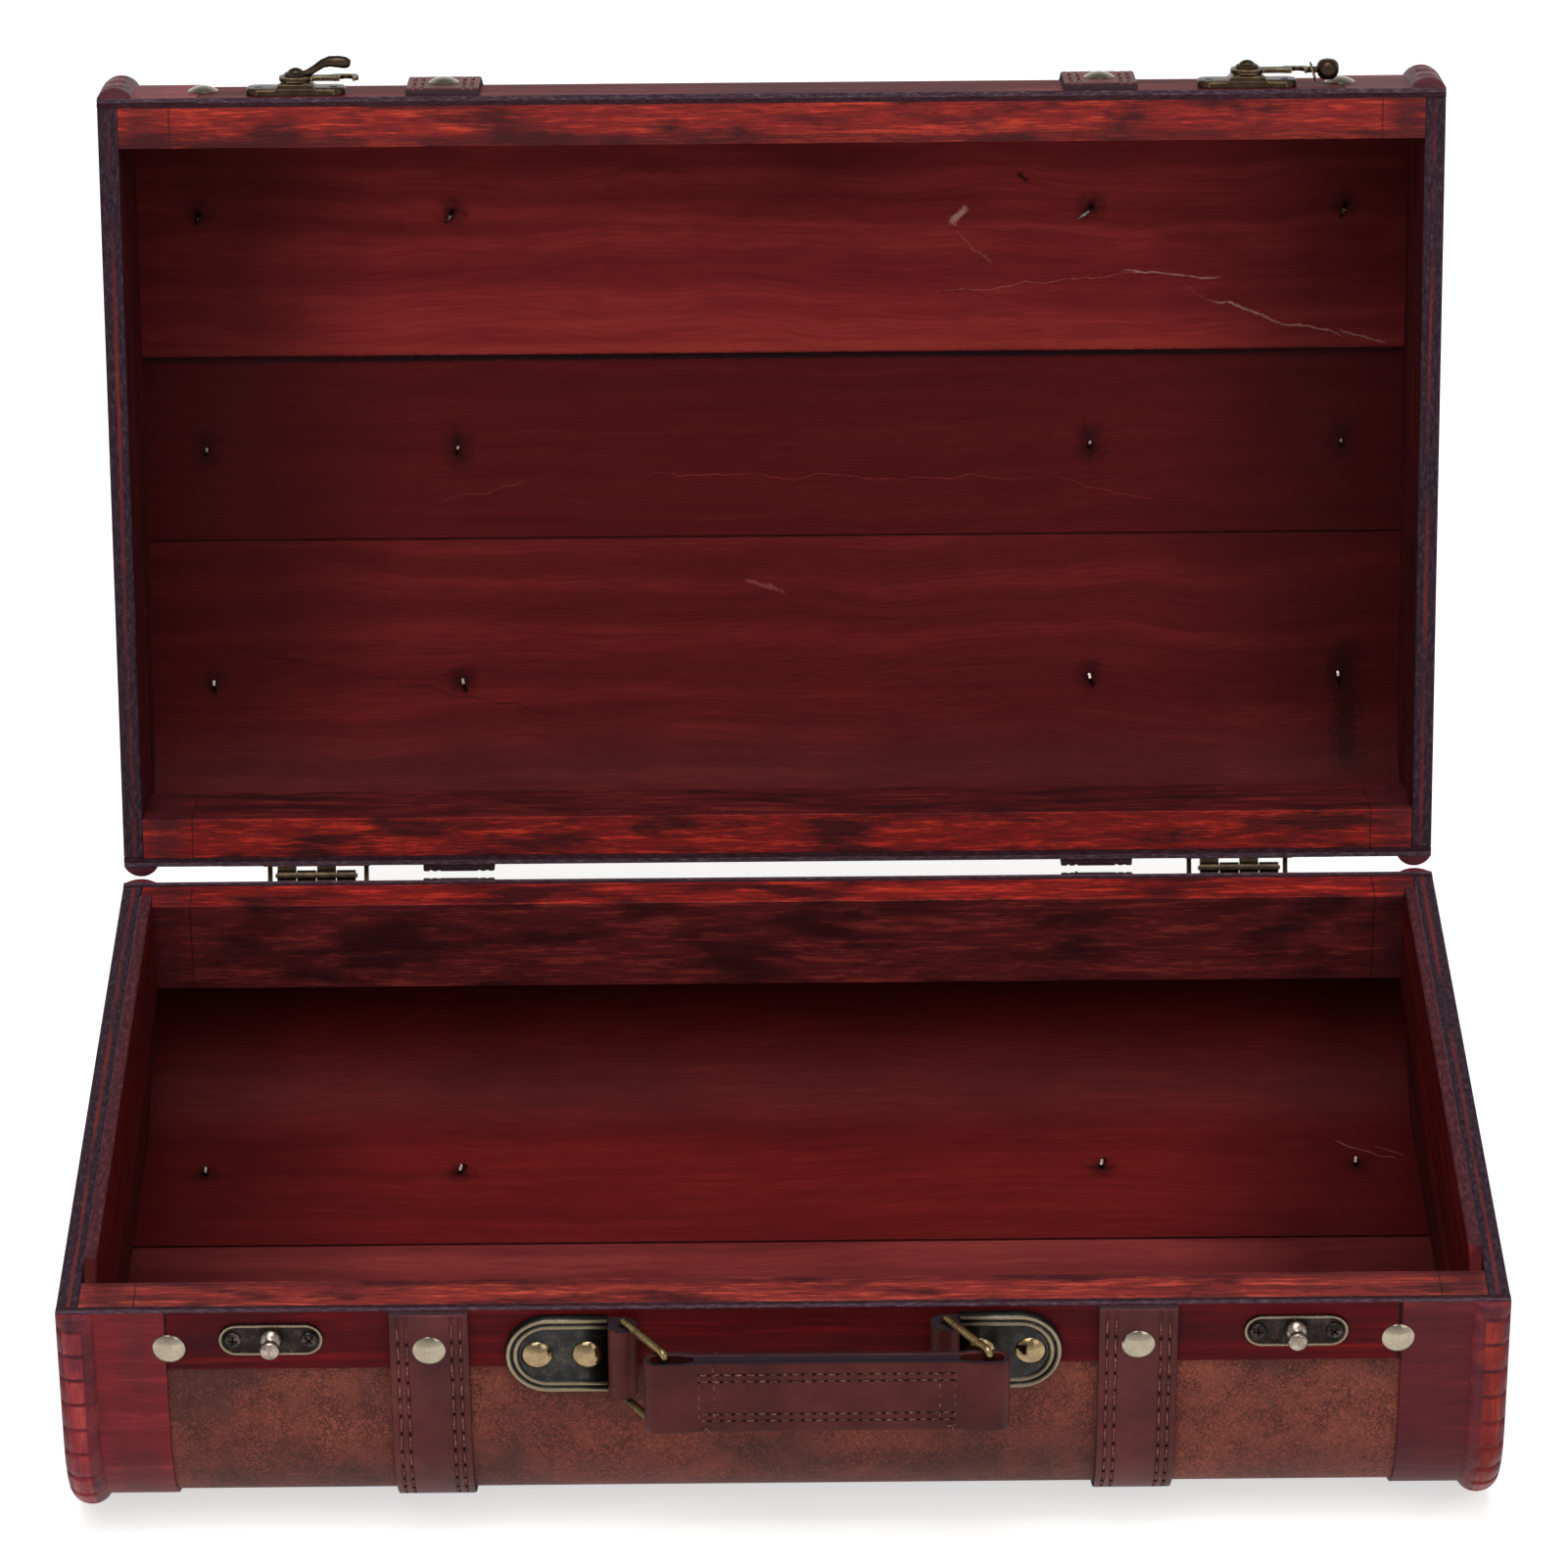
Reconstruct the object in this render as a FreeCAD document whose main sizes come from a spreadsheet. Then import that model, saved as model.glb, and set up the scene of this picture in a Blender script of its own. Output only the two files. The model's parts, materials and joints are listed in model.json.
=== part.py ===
import FreeCAD, Part
import Sketcher
import math
import os

# Keepsake case of bent ply with suitcase trim, lid standing open.
# X runs along the front, Y goes back, Z up, soles of the end beads at Z 0.

os.makedirs("parts", exist_ok=True)
doc = FreeCAD.newDocument("keepsake_case")
sheet = doc.addObject("Spreadsheet::Sheet", "Sizes")
nodes = []
sizeRow = [0]


class Size:
    # a length or angle with the spreadsheet formula that gives it
    def __init__(self, value, text):
        self.value = float(value)
        self.text = text

    def __add__(self, other):
        other = plain(other)
        return Size(self.value + other.value, "(%s + %s)" % (self.text, other.text))

    def __sub__(self, other):
        other = plain(other)
        return Size(self.value - other.value, "(%s - %s)" % (self.text, other.text))

    def __mul__(self, other):
        other = plain(other)
        return Size(self.value * other.value, "(%s * %s)" % (self.text, other.text))

    def __truediv__(self, other):
        other = plain(other)
        return Size(self.value / other.value, "(%s / %s)" % (self.text, other.text))

    def __radd__(self, other):
        return plain(other) + self

    def __rsub__(self, other):
        return plain(other) - self

    def __rmul__(self, other):
        return plain(other) * self

    def __neg__(self):
        return plain(0) - self


def plain(number):
    if isinstance(number, Size):
        return number
    return Size(number, "%.10g" % number if number >= 0 else "(0 - %.10g)" % -number)


def size(name, number):
    sizeRow[0] += 1
    cell = "A%d" % sizeRow[0]
    sheet.set(cell, str(number))
    sheet.setAlias(cell, name)
    return Size(number, "Sizes.%s" % name)


def cosOf(angle):
    return Size(math.cos(math.radians(angle.value)), "cos(%s)" % angle.text)


def sinOf(angle):
    return Size(math.sin(math.radians(angle.value)), "sin(%s)" % angle.text)


def arccosOf(ratio):
    return Size(math.degrees(math.acos(ratio.value)), "(acos(%s) / 1deg)" % ratio.text)


def arcsinOf(ratio):
    return Size(math.degrees(math.asin(ratio.value)), "(asin(%s) / 1deg)" % ratio.text)


# ---- sizes ----
width = size("width", 330)                        # over the end panels
depth = size("depth", 196)                        # over the end bands
baseTall = size("base_tall", 63.4)                # rim to the underside of the bands
lidTall = size("lid_tall", 45.4)
cornerRound = size("corner_round", 29)            # outside of the bands
frontPlace = size("front_place", -132)            # front face from the origin, along Y
lidOpen = size("lid_open", 103)                   # degrees
pinBehind = size("pin_behind", 2.6)               # hinge pin behind the back face

panelThick = size("panel_thick", 5)
skinThick = size("skin_thick", 1.2)
centreThick = size("centre_thick", 0.7)
centreWide = size("centre_wide", 48)
coverThick = size("cover_thick", 0.3)
bandThick = size("band_thick", 1.2)
bandWide = size("band_wide", 24.5)
stripTall = size("strip_tall", 15.6)
railThick = size("rail_thick", 10)
railTall = size("rail_tall", 24)
beadWide = size("bead_wide", 8.5)
beadHigh = size("bead_high", 2.6)
beadEndGap = size("bead_end_gap", 0.3)            # bead cut back from the rim
solePlaned = size("sole_planed", 0.15)            # planed off the base beads

linerThick = size("liner_thick", 3)
linerTall = size("liner_tall", 29)
linerProud = size("liner_proud", 4)
linerRound = size("liner_round", 5)
linerGap = size("liner_gap", 0.3)
linerBackGap = size("liner_back_gap", 1)

strapShare = size("strap_share", 0.244)           # strap from the middle, as a share of the width
strapWide = size("strap_wide", 18)
strapThick = size("strap_thick", 1.7)
strapEndGap = size("strap_end_gap", 0.4)
strapLap = size("strap_lap", 4)                   # thicker end runs this far below the rim strip

studWide = size("stud_wide", 7.6)
studHigh = size("stud_high", 1.4)
studDown = size("stud_down", 10)                  # rim tacks below the rim
bandStudFromEnd = size("band_stud_from_end", 25.3)
floorStudFromEnd = size("floor_stud_from_end", 20.5)
studRowBase = size("stud_row_base", 56)           # floor rows from the middle
studRowLid = size("stud_row_lid", 61)
tineWide = size("tine_wide", 1.2)
tineThick = size("tine_thick", 0.6)
tineDeep = size("tine_deep", 6)                   # rim tacks go this far into the rail
tineBent = size("tine_bent", 4.6)                 # length bent over inside

keeperFromEnd = size("keeper_from_end", 48.6)
keeperDown = size("keeper_down", 7.4)
keeperLong = size("keeper_long", 23.8)
keeperTall = size("keeper_tall", 8.2)
keeperThick = size("keeper_thick", 0.8)
keeperRim = size("keeper_rim", 0.9)
keeperSunk = size("keeper_sunk", 0.3)
keeperScrewPlace = size("keeper_screw_place", 8.65)
screwHeadWide = size("screw_head_wide", 4)
screwHeadHigh = size("screw_head_high", 0.9)
screwWide = size("screw_wide", 1.6)
screwDeep = size("screw_deep", 7)
screwPlay = size("screw_play", 0.05)
knobCollarWide = size("knob_collar_wide", 5.6)
knobNeckWide = size("knob_neck_wide", 2.6)
knobCapWide = size("knob_cap_wide", 4.4)
knobCollarHigh = size("knob_collar_high", 0.7)
knobNeckHigh = size("knob_neck_high", 4.3)
knobHigh = size("knob_high", 5.6)
knobEase = size("knob_ease", 0.5)

mountOuter = size("mount_outer", 63.4)
mountInner = size("mount_inner", 40)
mountTall = size("mount_tall", 20)
mountThick = size("mount_thick", 2.4)
mountRim = size("mount_rim", 3.2)
mountSunk = size("mount_sunk", 0.7)
tailThick = size("tail_thick", 1.1)
tailLong = size("tail_long", 16)                  # from the roll, under the inner rivet
handleDown = size("handle_down", 11.5)            # middle of mounts and handle below the rim
rivetWide = size("rivet_wide", 7.2)
rivetHigh = size("rivet_high", 1.8)
rivetOuter = size("rivet_outer", 56)
rivetInner = size("rivet_inner", 44.5)
tabPlace = size("tab_place", 36.5)
tabRollWide = size("tab_roll_wide", 6.6)
tabTall = size("tab_tall", 18.4)
tailGap = size("tail_gap", 0.2)
wireWide = size("wire_wide", 1.9)
wirePlay = size("wire_play", 0.1)
ringReach = size("ring_reach", 17)                # bar to bar
ringEndGap = size("ring_end_gap", 0.3)            # between ring and tab, top and bottom
ringRound = size("ring_round", 1.3)
ringSwing = size("ring_swing", 55.6)              # degrees from the front face at rest
handleLong = size("handle_long", 82.4)
handleTall = size("handle_tall", 18.4)
handleThick = size("handle_thick", 6)
coreLong = size("core_long", 60)
coreThick = size("core_thick", 2)
coreGap = size("core_gap", 0.1)

hingeFromEnd = size("hinge_from_end", 48.5)
leafWide = size("leaf_wide", 27)
leafTall = size("leaf_tall", 12)
leafThick = size("leaf_thick", 0.6)
knuckleWide = size("knuckle_wide", 2.8)
knuckleLong = size("knuckle_long", 5)
knuckleGap = size("knuckle_gap", 0.2)
pinWide = size("pin_wide", 1.2)
pinPlay = size("pin_play", 0.05)
pinEnd = size("pin_end", 0.4)
leafScrewPlace = size("leaf_screw_place", 7)
leafScrewDown = size("leaf_screw_down", 7)
leafScrewHigh = size("leaf_screw_high", 0.7)
stayPlace = size("stay_place", 12.2)
stayReach = size("stay_reach", 8.1)
stayHigh = size("stay_high", 1.8)
stayThick = size("stay_thick", 1.2)
stayLap = size("stay_lap", 6)                     # degrees let into the lid leaf, then trimmed flush
stayGap = size("stay_gap", 0.6)                   # degrees short of the base leaf

claspFromEnd = size("clasp_from_end", 48.5)
claspUp = size("clasp_up", 5)                     # hook pivot from the rim of the lid
claspLong = size("clasp_long", 24.2)
claspTall = size("clasp_tall", 7.4)
claspThick = size("clasp_thick", 1.8)
bossWide = size("boss_wide", 6)
bossSlope = size("boss_slope", 1.7)
bossHigh = size("boss_high", 3.2)
claspPinPlace = size("clasp_pin_place", 9.2)
hookThick = size("hook_thick", 1.2)
hookPlay = size("hook_play", 0.1)
hookDisc = size("hook_disc", 8.3)
hookArm = size("hook_arm", 3)
hubWide = size("hub_wide", 5.6)
hubHigh = size("hub_high", 0.9)
slotWide = size("slot_wide", 3)
slotDeep = size("slot_deep", 2.2)
slotWall = size("slot_wall", 1.2)
capWide = size("cap_wide", 4)
capHigh = size("cap_high", 1)
fingerStart = size("finger_start", 1.2)
fingerEnd = size("finger_end", 13.6)
fingerHigh = size("finger_high", 9.4)             # top of the thumb finger above the lid front
fingerWide = size("finger_wide", 2.6)
fingerFoot = size("finger_foot", 2)
fingerThick = size("finger_thick", 2.3)
tipThick = size("tip_thick", 2.9)
tipLong = size("tip_long", 1.2)
tipEase = size("tip_ease", 0.8)
ballWide = size("ball_wide", 5.6)
ballNeckWide = size("ball_neck_wide", 1.6)
ballNeckLong = size("ball_neck_long", 2.6)
loopRound = size("loop_round", 2.3)
loopWire = size("loop_wire", 0.5)
loopLean = size("loop_lean", 75)                  # degrees from upright toward the rim
loopTurn = size("loop_turn", 72)                  # degrees across the neck it hangs on

# ---- places worked out from them ----
rimUp = baseTall + beadHigh - solePlaned
halfWide = width / 2
strapPlace = width * strapShare
bandStudPlace = halfWide - bandStudFromEnd
floorStudPlace = halfWide - floorStudFromEnd
keeperPlace = halfWide - keeperFromEnd
hingePlace = halfWide - hingeFromEnd
claspPlace = halfWide - claspFromEnd
panelIn = halfWide - panelThick
bandIn = halfWide - bandWide
coverIn = bandThick - coverThick
skinIn = bandThick + skinThick
railIn = skinIn + railThick
middle = depth / 2
pinPlaceY = depth + pinBehind

atPlace = "placement(vector(%s; %s; %s); rotation(vector(%s); %s))"
baseFrame = atPlace % ("0", frontPlace.text, rimUp.text, "0; 1; 0", "180")
lidFrame = atPlace % ("0", (frontPlace + pinPlaceY).text, rimUp.text, "1; 0; 0", (-lidOpen).text)
lidFrame += " * " + atPlace % ("0", (-pinPlaceY).text, "0", "1; 0; 0", "0")

# ---- helpers ----
toFront = FreeCAD.Rotation(FreeCAD.Vector(1, 0, 0), 90)        # local Z turned to -Y
toBack = FreeCAD.Rotation(FreeCAD.Vector(1, 0, 0), -90)        # local Z turned to +Y
toSide = FreeCAD.Rotation(FreeCAD.Vector(0, 1, 0), 90)         # local Z turned to +X
noTurn = FreeCAD.Rotation()


def turnAxes(alongX, alongY, alongZ):
    # rotation that lays the local axes along the given ones
    return FreeCAD.Rotation(FreeCAD.Vector(*alongX), FreeCAD.Vector(*alongY),
                            FreeCAD.Vector(*alongZ), "ZXY")


def bind(thing, prop, dim):
    dim = plain(dim)
    thing.setExpression(prop, dim.text)


def move(thing, x, y, z, turn=noTurn):
    thing.Placement = FreeCAD.Placement(FreeCAD.Vector(0, 0, 0), turn)
    bind(thing, "Placement.Base.x", x)
    bind(thing, "Placement.Base.y", y)
    bind(thing, "Placement.Base.z", z)
    return thing


def box(x, y, z, long, deep, tall):
    item = doc.addObject("Part::Box", "block")
    bind(item, "Length", long)
    bind(item, "Width", deep)
    bind(item, "Height", tall)
    return move(item, x, y, z)


def rod(x, y, z, wide, tall, turn=noTurn):
    item = doc.addObject("Part::Cylinder", "rod")
    bind(item, "Radius", plain(wide) / 2)
    bind(item, "Height", tall)
    return move(item, x, y, z, turn)


def shank(x, y, z, wide, long, turn):
    # hidden shank of a screw, rivet or pin, plain and eight-sided
    item = doc.addObject("Part::Prism", "shank")
    item.Polygon = 8
    bind(item, "Circumradius", plain(wide) / 2)
    bind(item, "Height", long)
    return move(item, x, y, z, turn)


def ball(x, y, z, wide):
    item = doc.addObject("Part::Sphere", "ball")
    bind(item, "Radius", plain(wide) / 2)
    return move(item, x, y, z)


def quarter(x, y, z, reach, wide, turn):
    # quarter of a ring, from its local X axis to its local Y axis
    item = doc.addObject("Part::Torus", "bend")
    bind(item, "Radius1", reach)
    bind(item, "Radius2", plain(wide) / 2)
    item.Angle3 = 90
    return move(item, x, y, z, turn)


def dome(x, y, z, wide, high, turn, out):
    # low dome on a face: out is the way the face looks, as a sign on one axis
    item = doc.addObject("Part::Sphere", "dome")
    radius = (wide * wide / 4 + high * high) / (2 * high)
    sunk = radius - high
    bind(item, "Radius", radius)
    item.Angle1 = 45
    bind(item, "Angle1", arcsinOf(sunk / radius))
    return move(item, x - out[0] * sunk, y - out[1] * sunk, z - out[2] * sunk, turn)


def join(items):
    item = doc.addObject("Part::MultiFuse", "joined")
    item.Shapes = items
    item.Refine = False
    return item


def group(items):
    item = doc.addObject("Part::Compound", "group")
    item.Links = items
    return item


def cut(whole, tool):
    item = doc.addObject("Part::Cut", "trimmed")
    item.Base = whole
    item.Tool = tool
    return item


def shared(whole, other):
    item = doc.addObject("Part::Common", "shared")
    item.Base = whole
    item.Tool = other
    return item


def piece(item, label, frame):
    # names a finished piece and puts it in its place
    item.Label = label
    item.setExpression("Placement", frame)
    nodes.append(item)
    return item


def newBody(name):
    return doc.addObject("PartDesign::Body", name)


def newSketch(body, plane, offset=0):
    sketch = body.newObject("Sketcher::SketchObject", "outline")
    for part in body.Origin.OriginFeatures:
        if part.Role == plane:
            sketch.AttachmentSupport = [(part, "")]
    sketch.MapMode = "FlatFace"
    bind(sketch, "AttachmentOffset.Base.z", offset)
    return sketch


def hold(sketch, kind, *rest):
    # adds one constraint; a size at the end is bound to the spreadsheet
    last = rest[-1]
    if isinstance(last, Size):
        index = sketch.addConstraint(Sketcher.Constraint(kind, *rest[:-1], last.value))
        sketch.setExpression("Constraints[%d]" % index, last.text)
        return index
    return sketch.addConstraint(Sketcher.Constraint(kind, *rest))


def spot(sketch, geometry, end, x, y):
    # ties a point to a place measured from the sketch origin
    hold(sketch, "DistanceX", -1, 1, geometry, end, plain(x))
    hold(sketch, "DistanceY", -1, 1, geometry, end, plain(y))


def line(sketch, ax, ay, bx, by):
    start = FreeCAD.Vector(plain(ax).value, plain(ay).value, 0)
    stop = FreeCAD.Vector(plain(bx).value, plain(by).value, 0)
    return sketch.addGeometry(Part.LineSegment(start, stop), False)


def arc(sketch, x, y, radius, first, last):
    centre = FreeCAD.Vector(plain(x).value, plain(y).value, 0)
    circle = Part.Circle(centre, FreeCAD.Vector(0, 0, 1), plain(radius).value)
    bow = Part.ArcOfCircle(circle, math.radians(first), math.radians(last))
    return sketch.addGeometry(bow, False)


def polygon(sketch, points):
    # closed outline of straight sides through the given points
    count = len(points)
    ids = []
    for index in range(count):
        after = points[(index + 1) % count]
        ids.append(line(sketch, points[index][0], points[index][1], after[0], after[1]))
    for index in range(count):
        hold(sketch, "Coincident", ids[index], 2, ids[(index + 1) % count], 1)
    for index in range(count):
        spot(sketch, ids[index], 1, points[index][0], points[index][1])
    return ids


def circle(sketch, x, y, wide):
    centre = FreeCAD.Vector(plain(x).value, plain(y).value, 0)
    ring = Part.Circle(centre, FreeCAD.Vector(0, 0, 1), plain(wide).value / 2)
    index = sketch.addGeometry(ring, False)
    spot(sketch, index, 3, x, y)
    hold(sketch, "Radius", index, plain(wide) / 2)
    return index


def bentLine(sketch, inset, tall, lip):
    # down the front, round both corners and up the back, inset from the bands' outer face
    radius = cornerRound - inset
    low = tall - cornerRound
    far = depth - cornerRound
    front = line(sketch, inset, lip, inset, low)
    first = arc(sketch, cornerRound, low, radius, 90, 180)
    floor = line(sketch, cornerRound, tall - inset, far, tall - inset)
    second = arc(sketch, far, low, radius, 0, 90)
    back = line(sketch, depth - inset, low, depth - inset, lip)
    spot(sketch, first, 3, cornerRound, low)
    spot(sketch, second, 3, far, low)
    for bow, side, flat in ((first, 2, 1), (second, 1, 2)):
        hold(sketch, "Radius", bow, radius)
        hold(sketch, "Horizontal", bow, 3, bow, side)
        hold(sketch, "Vertical", bow, 3, bow, flat)
    hold(sketch, "Coincident", front, 2, first, 2)
    hold(sketch, "Coincident", floor, 1, first, 1)
    hold(sketch, "Coincident", floor, 2, second, 2)
    hold(sketch, "Coincident", back, 1, second, 1)
    hold(sketch, "Vertical", front)
    hold(sketch, "Vertical", back)
    hold(sketch, "DistanceY", -1, 1, front, 1, plain(lip))
    hold(sketch, "DistanceY", -1, 1, back, 2, plain(lip))
    return front, back


def pad(body, sketch, length):
    feature = body.newObject("PartDesign::Pad", "pad")
    feature.Profile = sketch
    bind(feature, "Length", length)
    return feature


def pocket(body, sketch, length, turned=False):
    feature = body.newObject("PartDesign::Pocket", "pocket")
    feature.Profile = sketch
    feature.Reversed = turned
    bind(feature, "Length", length)
    return feature


def bentSheet(name, start, wide, outer, inner, tall, lip):
    # sheet bent in a U that opens toward the rim
    body = newBody(name)
    sketch = newSketch(body, "YZ_Plane", start)
    outFront, outBack = bentLine(sketch, outer, tall, lip)
    inFront, inBack = bentLine(sketch, inner, tall, lip)
    frontEnd = line(sketch, outer, lip, inner, lip)
    backEnd = line(sketch, depth - inner, lip, depth - outer, lip)
    hold(sketch, "Coincident", frontEnd, 1, outFront, 1)
    hold(sketch, "Coincident", frontEnd, 2, inFront, 1)
    hold(sketch, "Coincident", backEnd, 1, inBack, 2)
    hold(sketch, "Coincident", backEnd, 2, outBack, 2)
    pad(body, sketch, wide)
    return body


def bentBoard(name, start, thick, inset, tall):
    # flat board whose edge follows the bent skin
    body = newBody(name)
    sketch = newSketch(body, "YZ_Plane", start)
    front, back = bentLine(sketch, inset, tall, 0)
    rim = line(sketch, depth - inset, 0, inset, 0)
    hold(sketch, "Coincident", rim, 1, back, 2)
    hold(sketch, "Coincident", rim, 2, front, 1)
    pad(body, sketch, thick)
    return body


# ---- shell pieces, the same for base and lid ----
def endPanel(start, tall):
    return bentBoard("panel", start, panelThick, skinIn, tall)


def rail(y, tall, holes):
    core = bentBoard("rail_core", -panelIn, panelIn * 2, skinIn, tall)
    return cut(shared(core, box(-panelIn, y, 0, panelIn * 2, railThick, railTall)), holes)


def skinSheet(y, tall, holes):
    whole = bentSheet("skin", -halfWide, width, bandThick, skinIn, tall, 0)
    reach = middle - centreWide / 2
    return cut(shared(whole, box(-halfWide, y, 0, width, reach, tall)), holes)


def centreStrip(tall, holes):
    strip = box(-halfWide, middle - centreWide / 2, tall - bandThick - centreThick,
                width, centreWide, centreThick)
    return cut(strip, holes)


def cover(tall, holes):
    return cut(bentSheet("cover", -bandIn, bandIn * 2, coverIn, bandThick, tall, stripTall), holes)


def rimStrip(y, holes):
    return cut(box(-bandIn, y, 0, bandIn * 2, bandThick, stripTall), holes)


def endBand(start, tall, holes):
    return cut(bentSheet("band", start, bandWide, 0, bandThick, tall, 0), holes)


def strap(place, tall, holes):
    # leather strap with its thicker ends lapped over the rim strips
    lower = bentSheet("strap", place - strapWide / 2, strapWide, coverIn - strapThick, coverIn,
                      tall, stripTall)
    endTall = stripTall + strapLap - strapEndGap
    ends = []
    for y in (-strapThick, depth):
        ends.append(box(place - strapWide / 2, y, strapEndGap, strapWide, strapThick, endTall))
    return cut(join([lower] + ends), holes)


def bead(start, tall, planed):
    # half-round bead bent round the end, cut back a little from the rim
    radius = (beadWide * beadWide / 4 + beadHigh * beadHigh) / (2 * beadHigh)
    sunk = radius - beadHigh
    wide = radius * 2
    x = start + beadWide / 2
    low = tall - cornerRound
    far = depth - cornerRound
    bend = cornerRound - sunk
    rope = join([
        rod(x, sunk, beadEndGap, wide, low - beadEndGap),
        quarter(x, cornerRound, low, bend, wide, turnAxes((0, 0, 1), (0, -1, 0), (1, 0, 0))),
        rod(x, cornerRound, tall - sunk, wide, depth - cornerRound * 2, toBack),
        quarter(x, far, low, bend, wide, turnAxes((0, 1, 0), (0, 0, 1), (1, 0, 0))),
        rod(x, depth - sunk, beadEndGap, wide, low - beadEndGap),
    ])
    outside = bentSheet("bead", start, beadWide, -beadHigh * 2, plain(0), tall, beadEndGap)
    bent = shared(rope, outside)
    if not planed:
        return bent
    waste = box(start, 0, tall + beadHigh - solePlaned, beadWide, depth, beadHigh)
    return cut(bent, waste)


# ---- tacks with bent-over tines ----
def rimTack(x, y, out):
    # tack through strap, strip and skin into a rail
    turn = toFront if out < 0 else toBack
    deep = tineDeep + skinIn
    start = y if out < 0 else y - deep
    head = dome(x, y, studDown, studWide, studHigh, turn, (0, out, 0))
    tine = box(x - tineWide / 2, start, studDown - tineThick / 2, tineWide, deep, tineThick)
    return [head, tine]


def floorTack(x, y, face, inner):
    # tack through the floor, its tine bent over on the inside
    head = dome(x, y, face, studWide, studHigh, noTurn, (0, 0, 1))
    stem = box(x - tineWide / 2, y - tineThick / 2, inner - tineThick, tineWide, tineThick,
               face - inner + tineThick)
    tip = box(x - tineWide / 2, y - tineThick / 2, inner - tineThick, tineWide, tineBent, tineThick)
    return [head, stem, tip]


def tackStems(tall, row):
    # every tine of one half, used again as the holes it makes
    tacks = []
    stems = []
    for side in (-1, 1):
        for place, lift in ((bandStudPlace, plain(0)), (strapPlace, strapThick)):
            for y, out in ((-lift, -1), (depth + lift, 1)):
                parts = rimTack(side * place, y, out)
                tacks.append(join(parts))
                stems.append(parts[1])
        for place, face in ((floorStudPlace, tall), (strapPlace, tall - coverIn + strapThick)):
            for step in (-1, 0, 1):
                thin = centreThick if step == 0 else skinThick
                parts = floorTack(side * place, middle + step * row, face, tall - bandThick - thin)
                tacks.append(join(parts))
                stems.append(parts[1])
    return tacks, stems


def screw(x, y, z, out, headHigh):
    # raised-head screw driven into the front or back
    turn = toFront if out < 0 else toBack
    head = dome(x, y, z, screwHeadWide, headHigh, turn, (0, out, 0))
    stem = shank(x, y, z, screwWide, screwDeep, toBack if out < 0 else toFront)
    return [head, stem]


def half(name, frame, tall, row, flipped, extraHoles):
    tacks, stems = tackStems(tall, row)
    holes = group(stems + extraHoles)
    sides = (("left", -1), ("right", 1))
    for side, sign in sides:
        local = -sign if flipped else sign
        panelStart = panelIn if local > 0 else -halfWide
        bandStart = bandIn if local > 0 else -halfWide
        beadStart = halfWide - beadWide if local > 0 else -halfWide
        piece(endPanel(panelStart, tall), name + "_panel_" + side, frame)
        piece(endBand(bandStart, tall, holes), name + "_band_" + side, frame)
        piece(bead(beadStart, tall, flipped), name + "_bead_" + side, frame)
        piece(strap(local * strapPlace, tall, holes), name + "_strap_" + side, frame)
    piece(rail(skinIn, tall, holes), name + "_rail_front", frame)
    piece(rail(depth - railIn, tall, holes), name + "_rail_back", frame)
    piece(skinSheet(0, tall, holes), name + "_skin_front", frame)
    piece(skinSheet(middle + centreWide / 2, tall, holes), name + "_skin_back", frame)
    piece(centreStrip(tall, holes), name + "_centre_strip", frame)
    piece(cover(tall, holes), name + "_cover", frame)
    piece(rimStrip(0, holes), name + "_rim_strip_front", frame)
    piece(rimStrip(depth - bandThick, holes), name + "_rim_strip_back", frame)
    piece(group(tacks), name + "_studs", frame)


# ---- keepers on the base front, drawn rim down ----
def stadium(sketch, x, y, long, tall):
    radius = tall / 2
    reach = (long - tall) / 2
    left = arc(sketch, x - reach, y, radius, 90, 270)
    right = arc(sketch, x + reach, y, radius, 270, 450)
    upper = line(sketch, x - reach, y + radius, x + reach, y + radius)
    lower = line(sketch, x - reach, y - radius, x + reach, y - radius)
    for bow, place, high, low in ((left, x - reach, 1, 2), (right, x + reach, 2, 1)):
        spot(sketch, bow, 3, place, y)
        hold(sketch, "Radius", bow, radius)
        hold(sketch, "Vertical", bow, 3, bow, high)
        hold(sketch, "Vertical", bow, 3, bow, low)
        end = 1 if bow == left else 2
        hold(sketch, "Coincident", upper, end, bow, high)
        hold(sketch, "Coincident", lower, end, bow, low)


def keeperPlate(place, holes):
    # pressed plate with a raised rim; sketches lie on the XZ plane and look to the front
    body = newBody("keeper")
    outline = newSketch(body, "XZ_Plane", 0)
    stadium(outline, place, keeperDown, keeperLong, keeperTall)
    pad(body, outline, keeperThick)
    dish = newSketch(body, "XZ_Plane", keeperThick)
    stadium(dish, place, keeperDown, keeperLong - keeperRim * 2, keeperTall - keeperRim * 2)
    pocket(body, dish, keeperSunk)
    return cut(body, holes)


def keeperKnob(place):
    # turned knob: collar, waist and rounded cap
    body = newBody("knob")
    profile = newSketch(body, "XY_Plane", keeperDown)
    face = keeperThick - keeperSunk
    waist = knobNeckWide / 2
    collar = knobCollarWide / 2
    cap = knobCapWide / 2
    points = [
        (place, -face),
        (place + collar, -face),
        (place + collar, -face - knobCollarHigh / 2),
        (place + waist, -face - knobCollarHigh),
        (place + waist, -face - knobNeckHigh),
        (place + cap, -face - knobNeckHigh - knobEase),
        (place + cap, -face - knobHigh + knobEase),
        (place + cap - knobEase, -face - knobHigh),
        (place, -face - knobHigh),
    ]
    ids = polygon(profile, points)
    turned = body.newObject("PartDesign::Revolution", "turned")
    turned.Profile = profile
    turned.ReferenceAxis = (profile, ["Edge%d" % (ids[-1] + 1)])
    turned.Angle = 360
    return body


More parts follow.
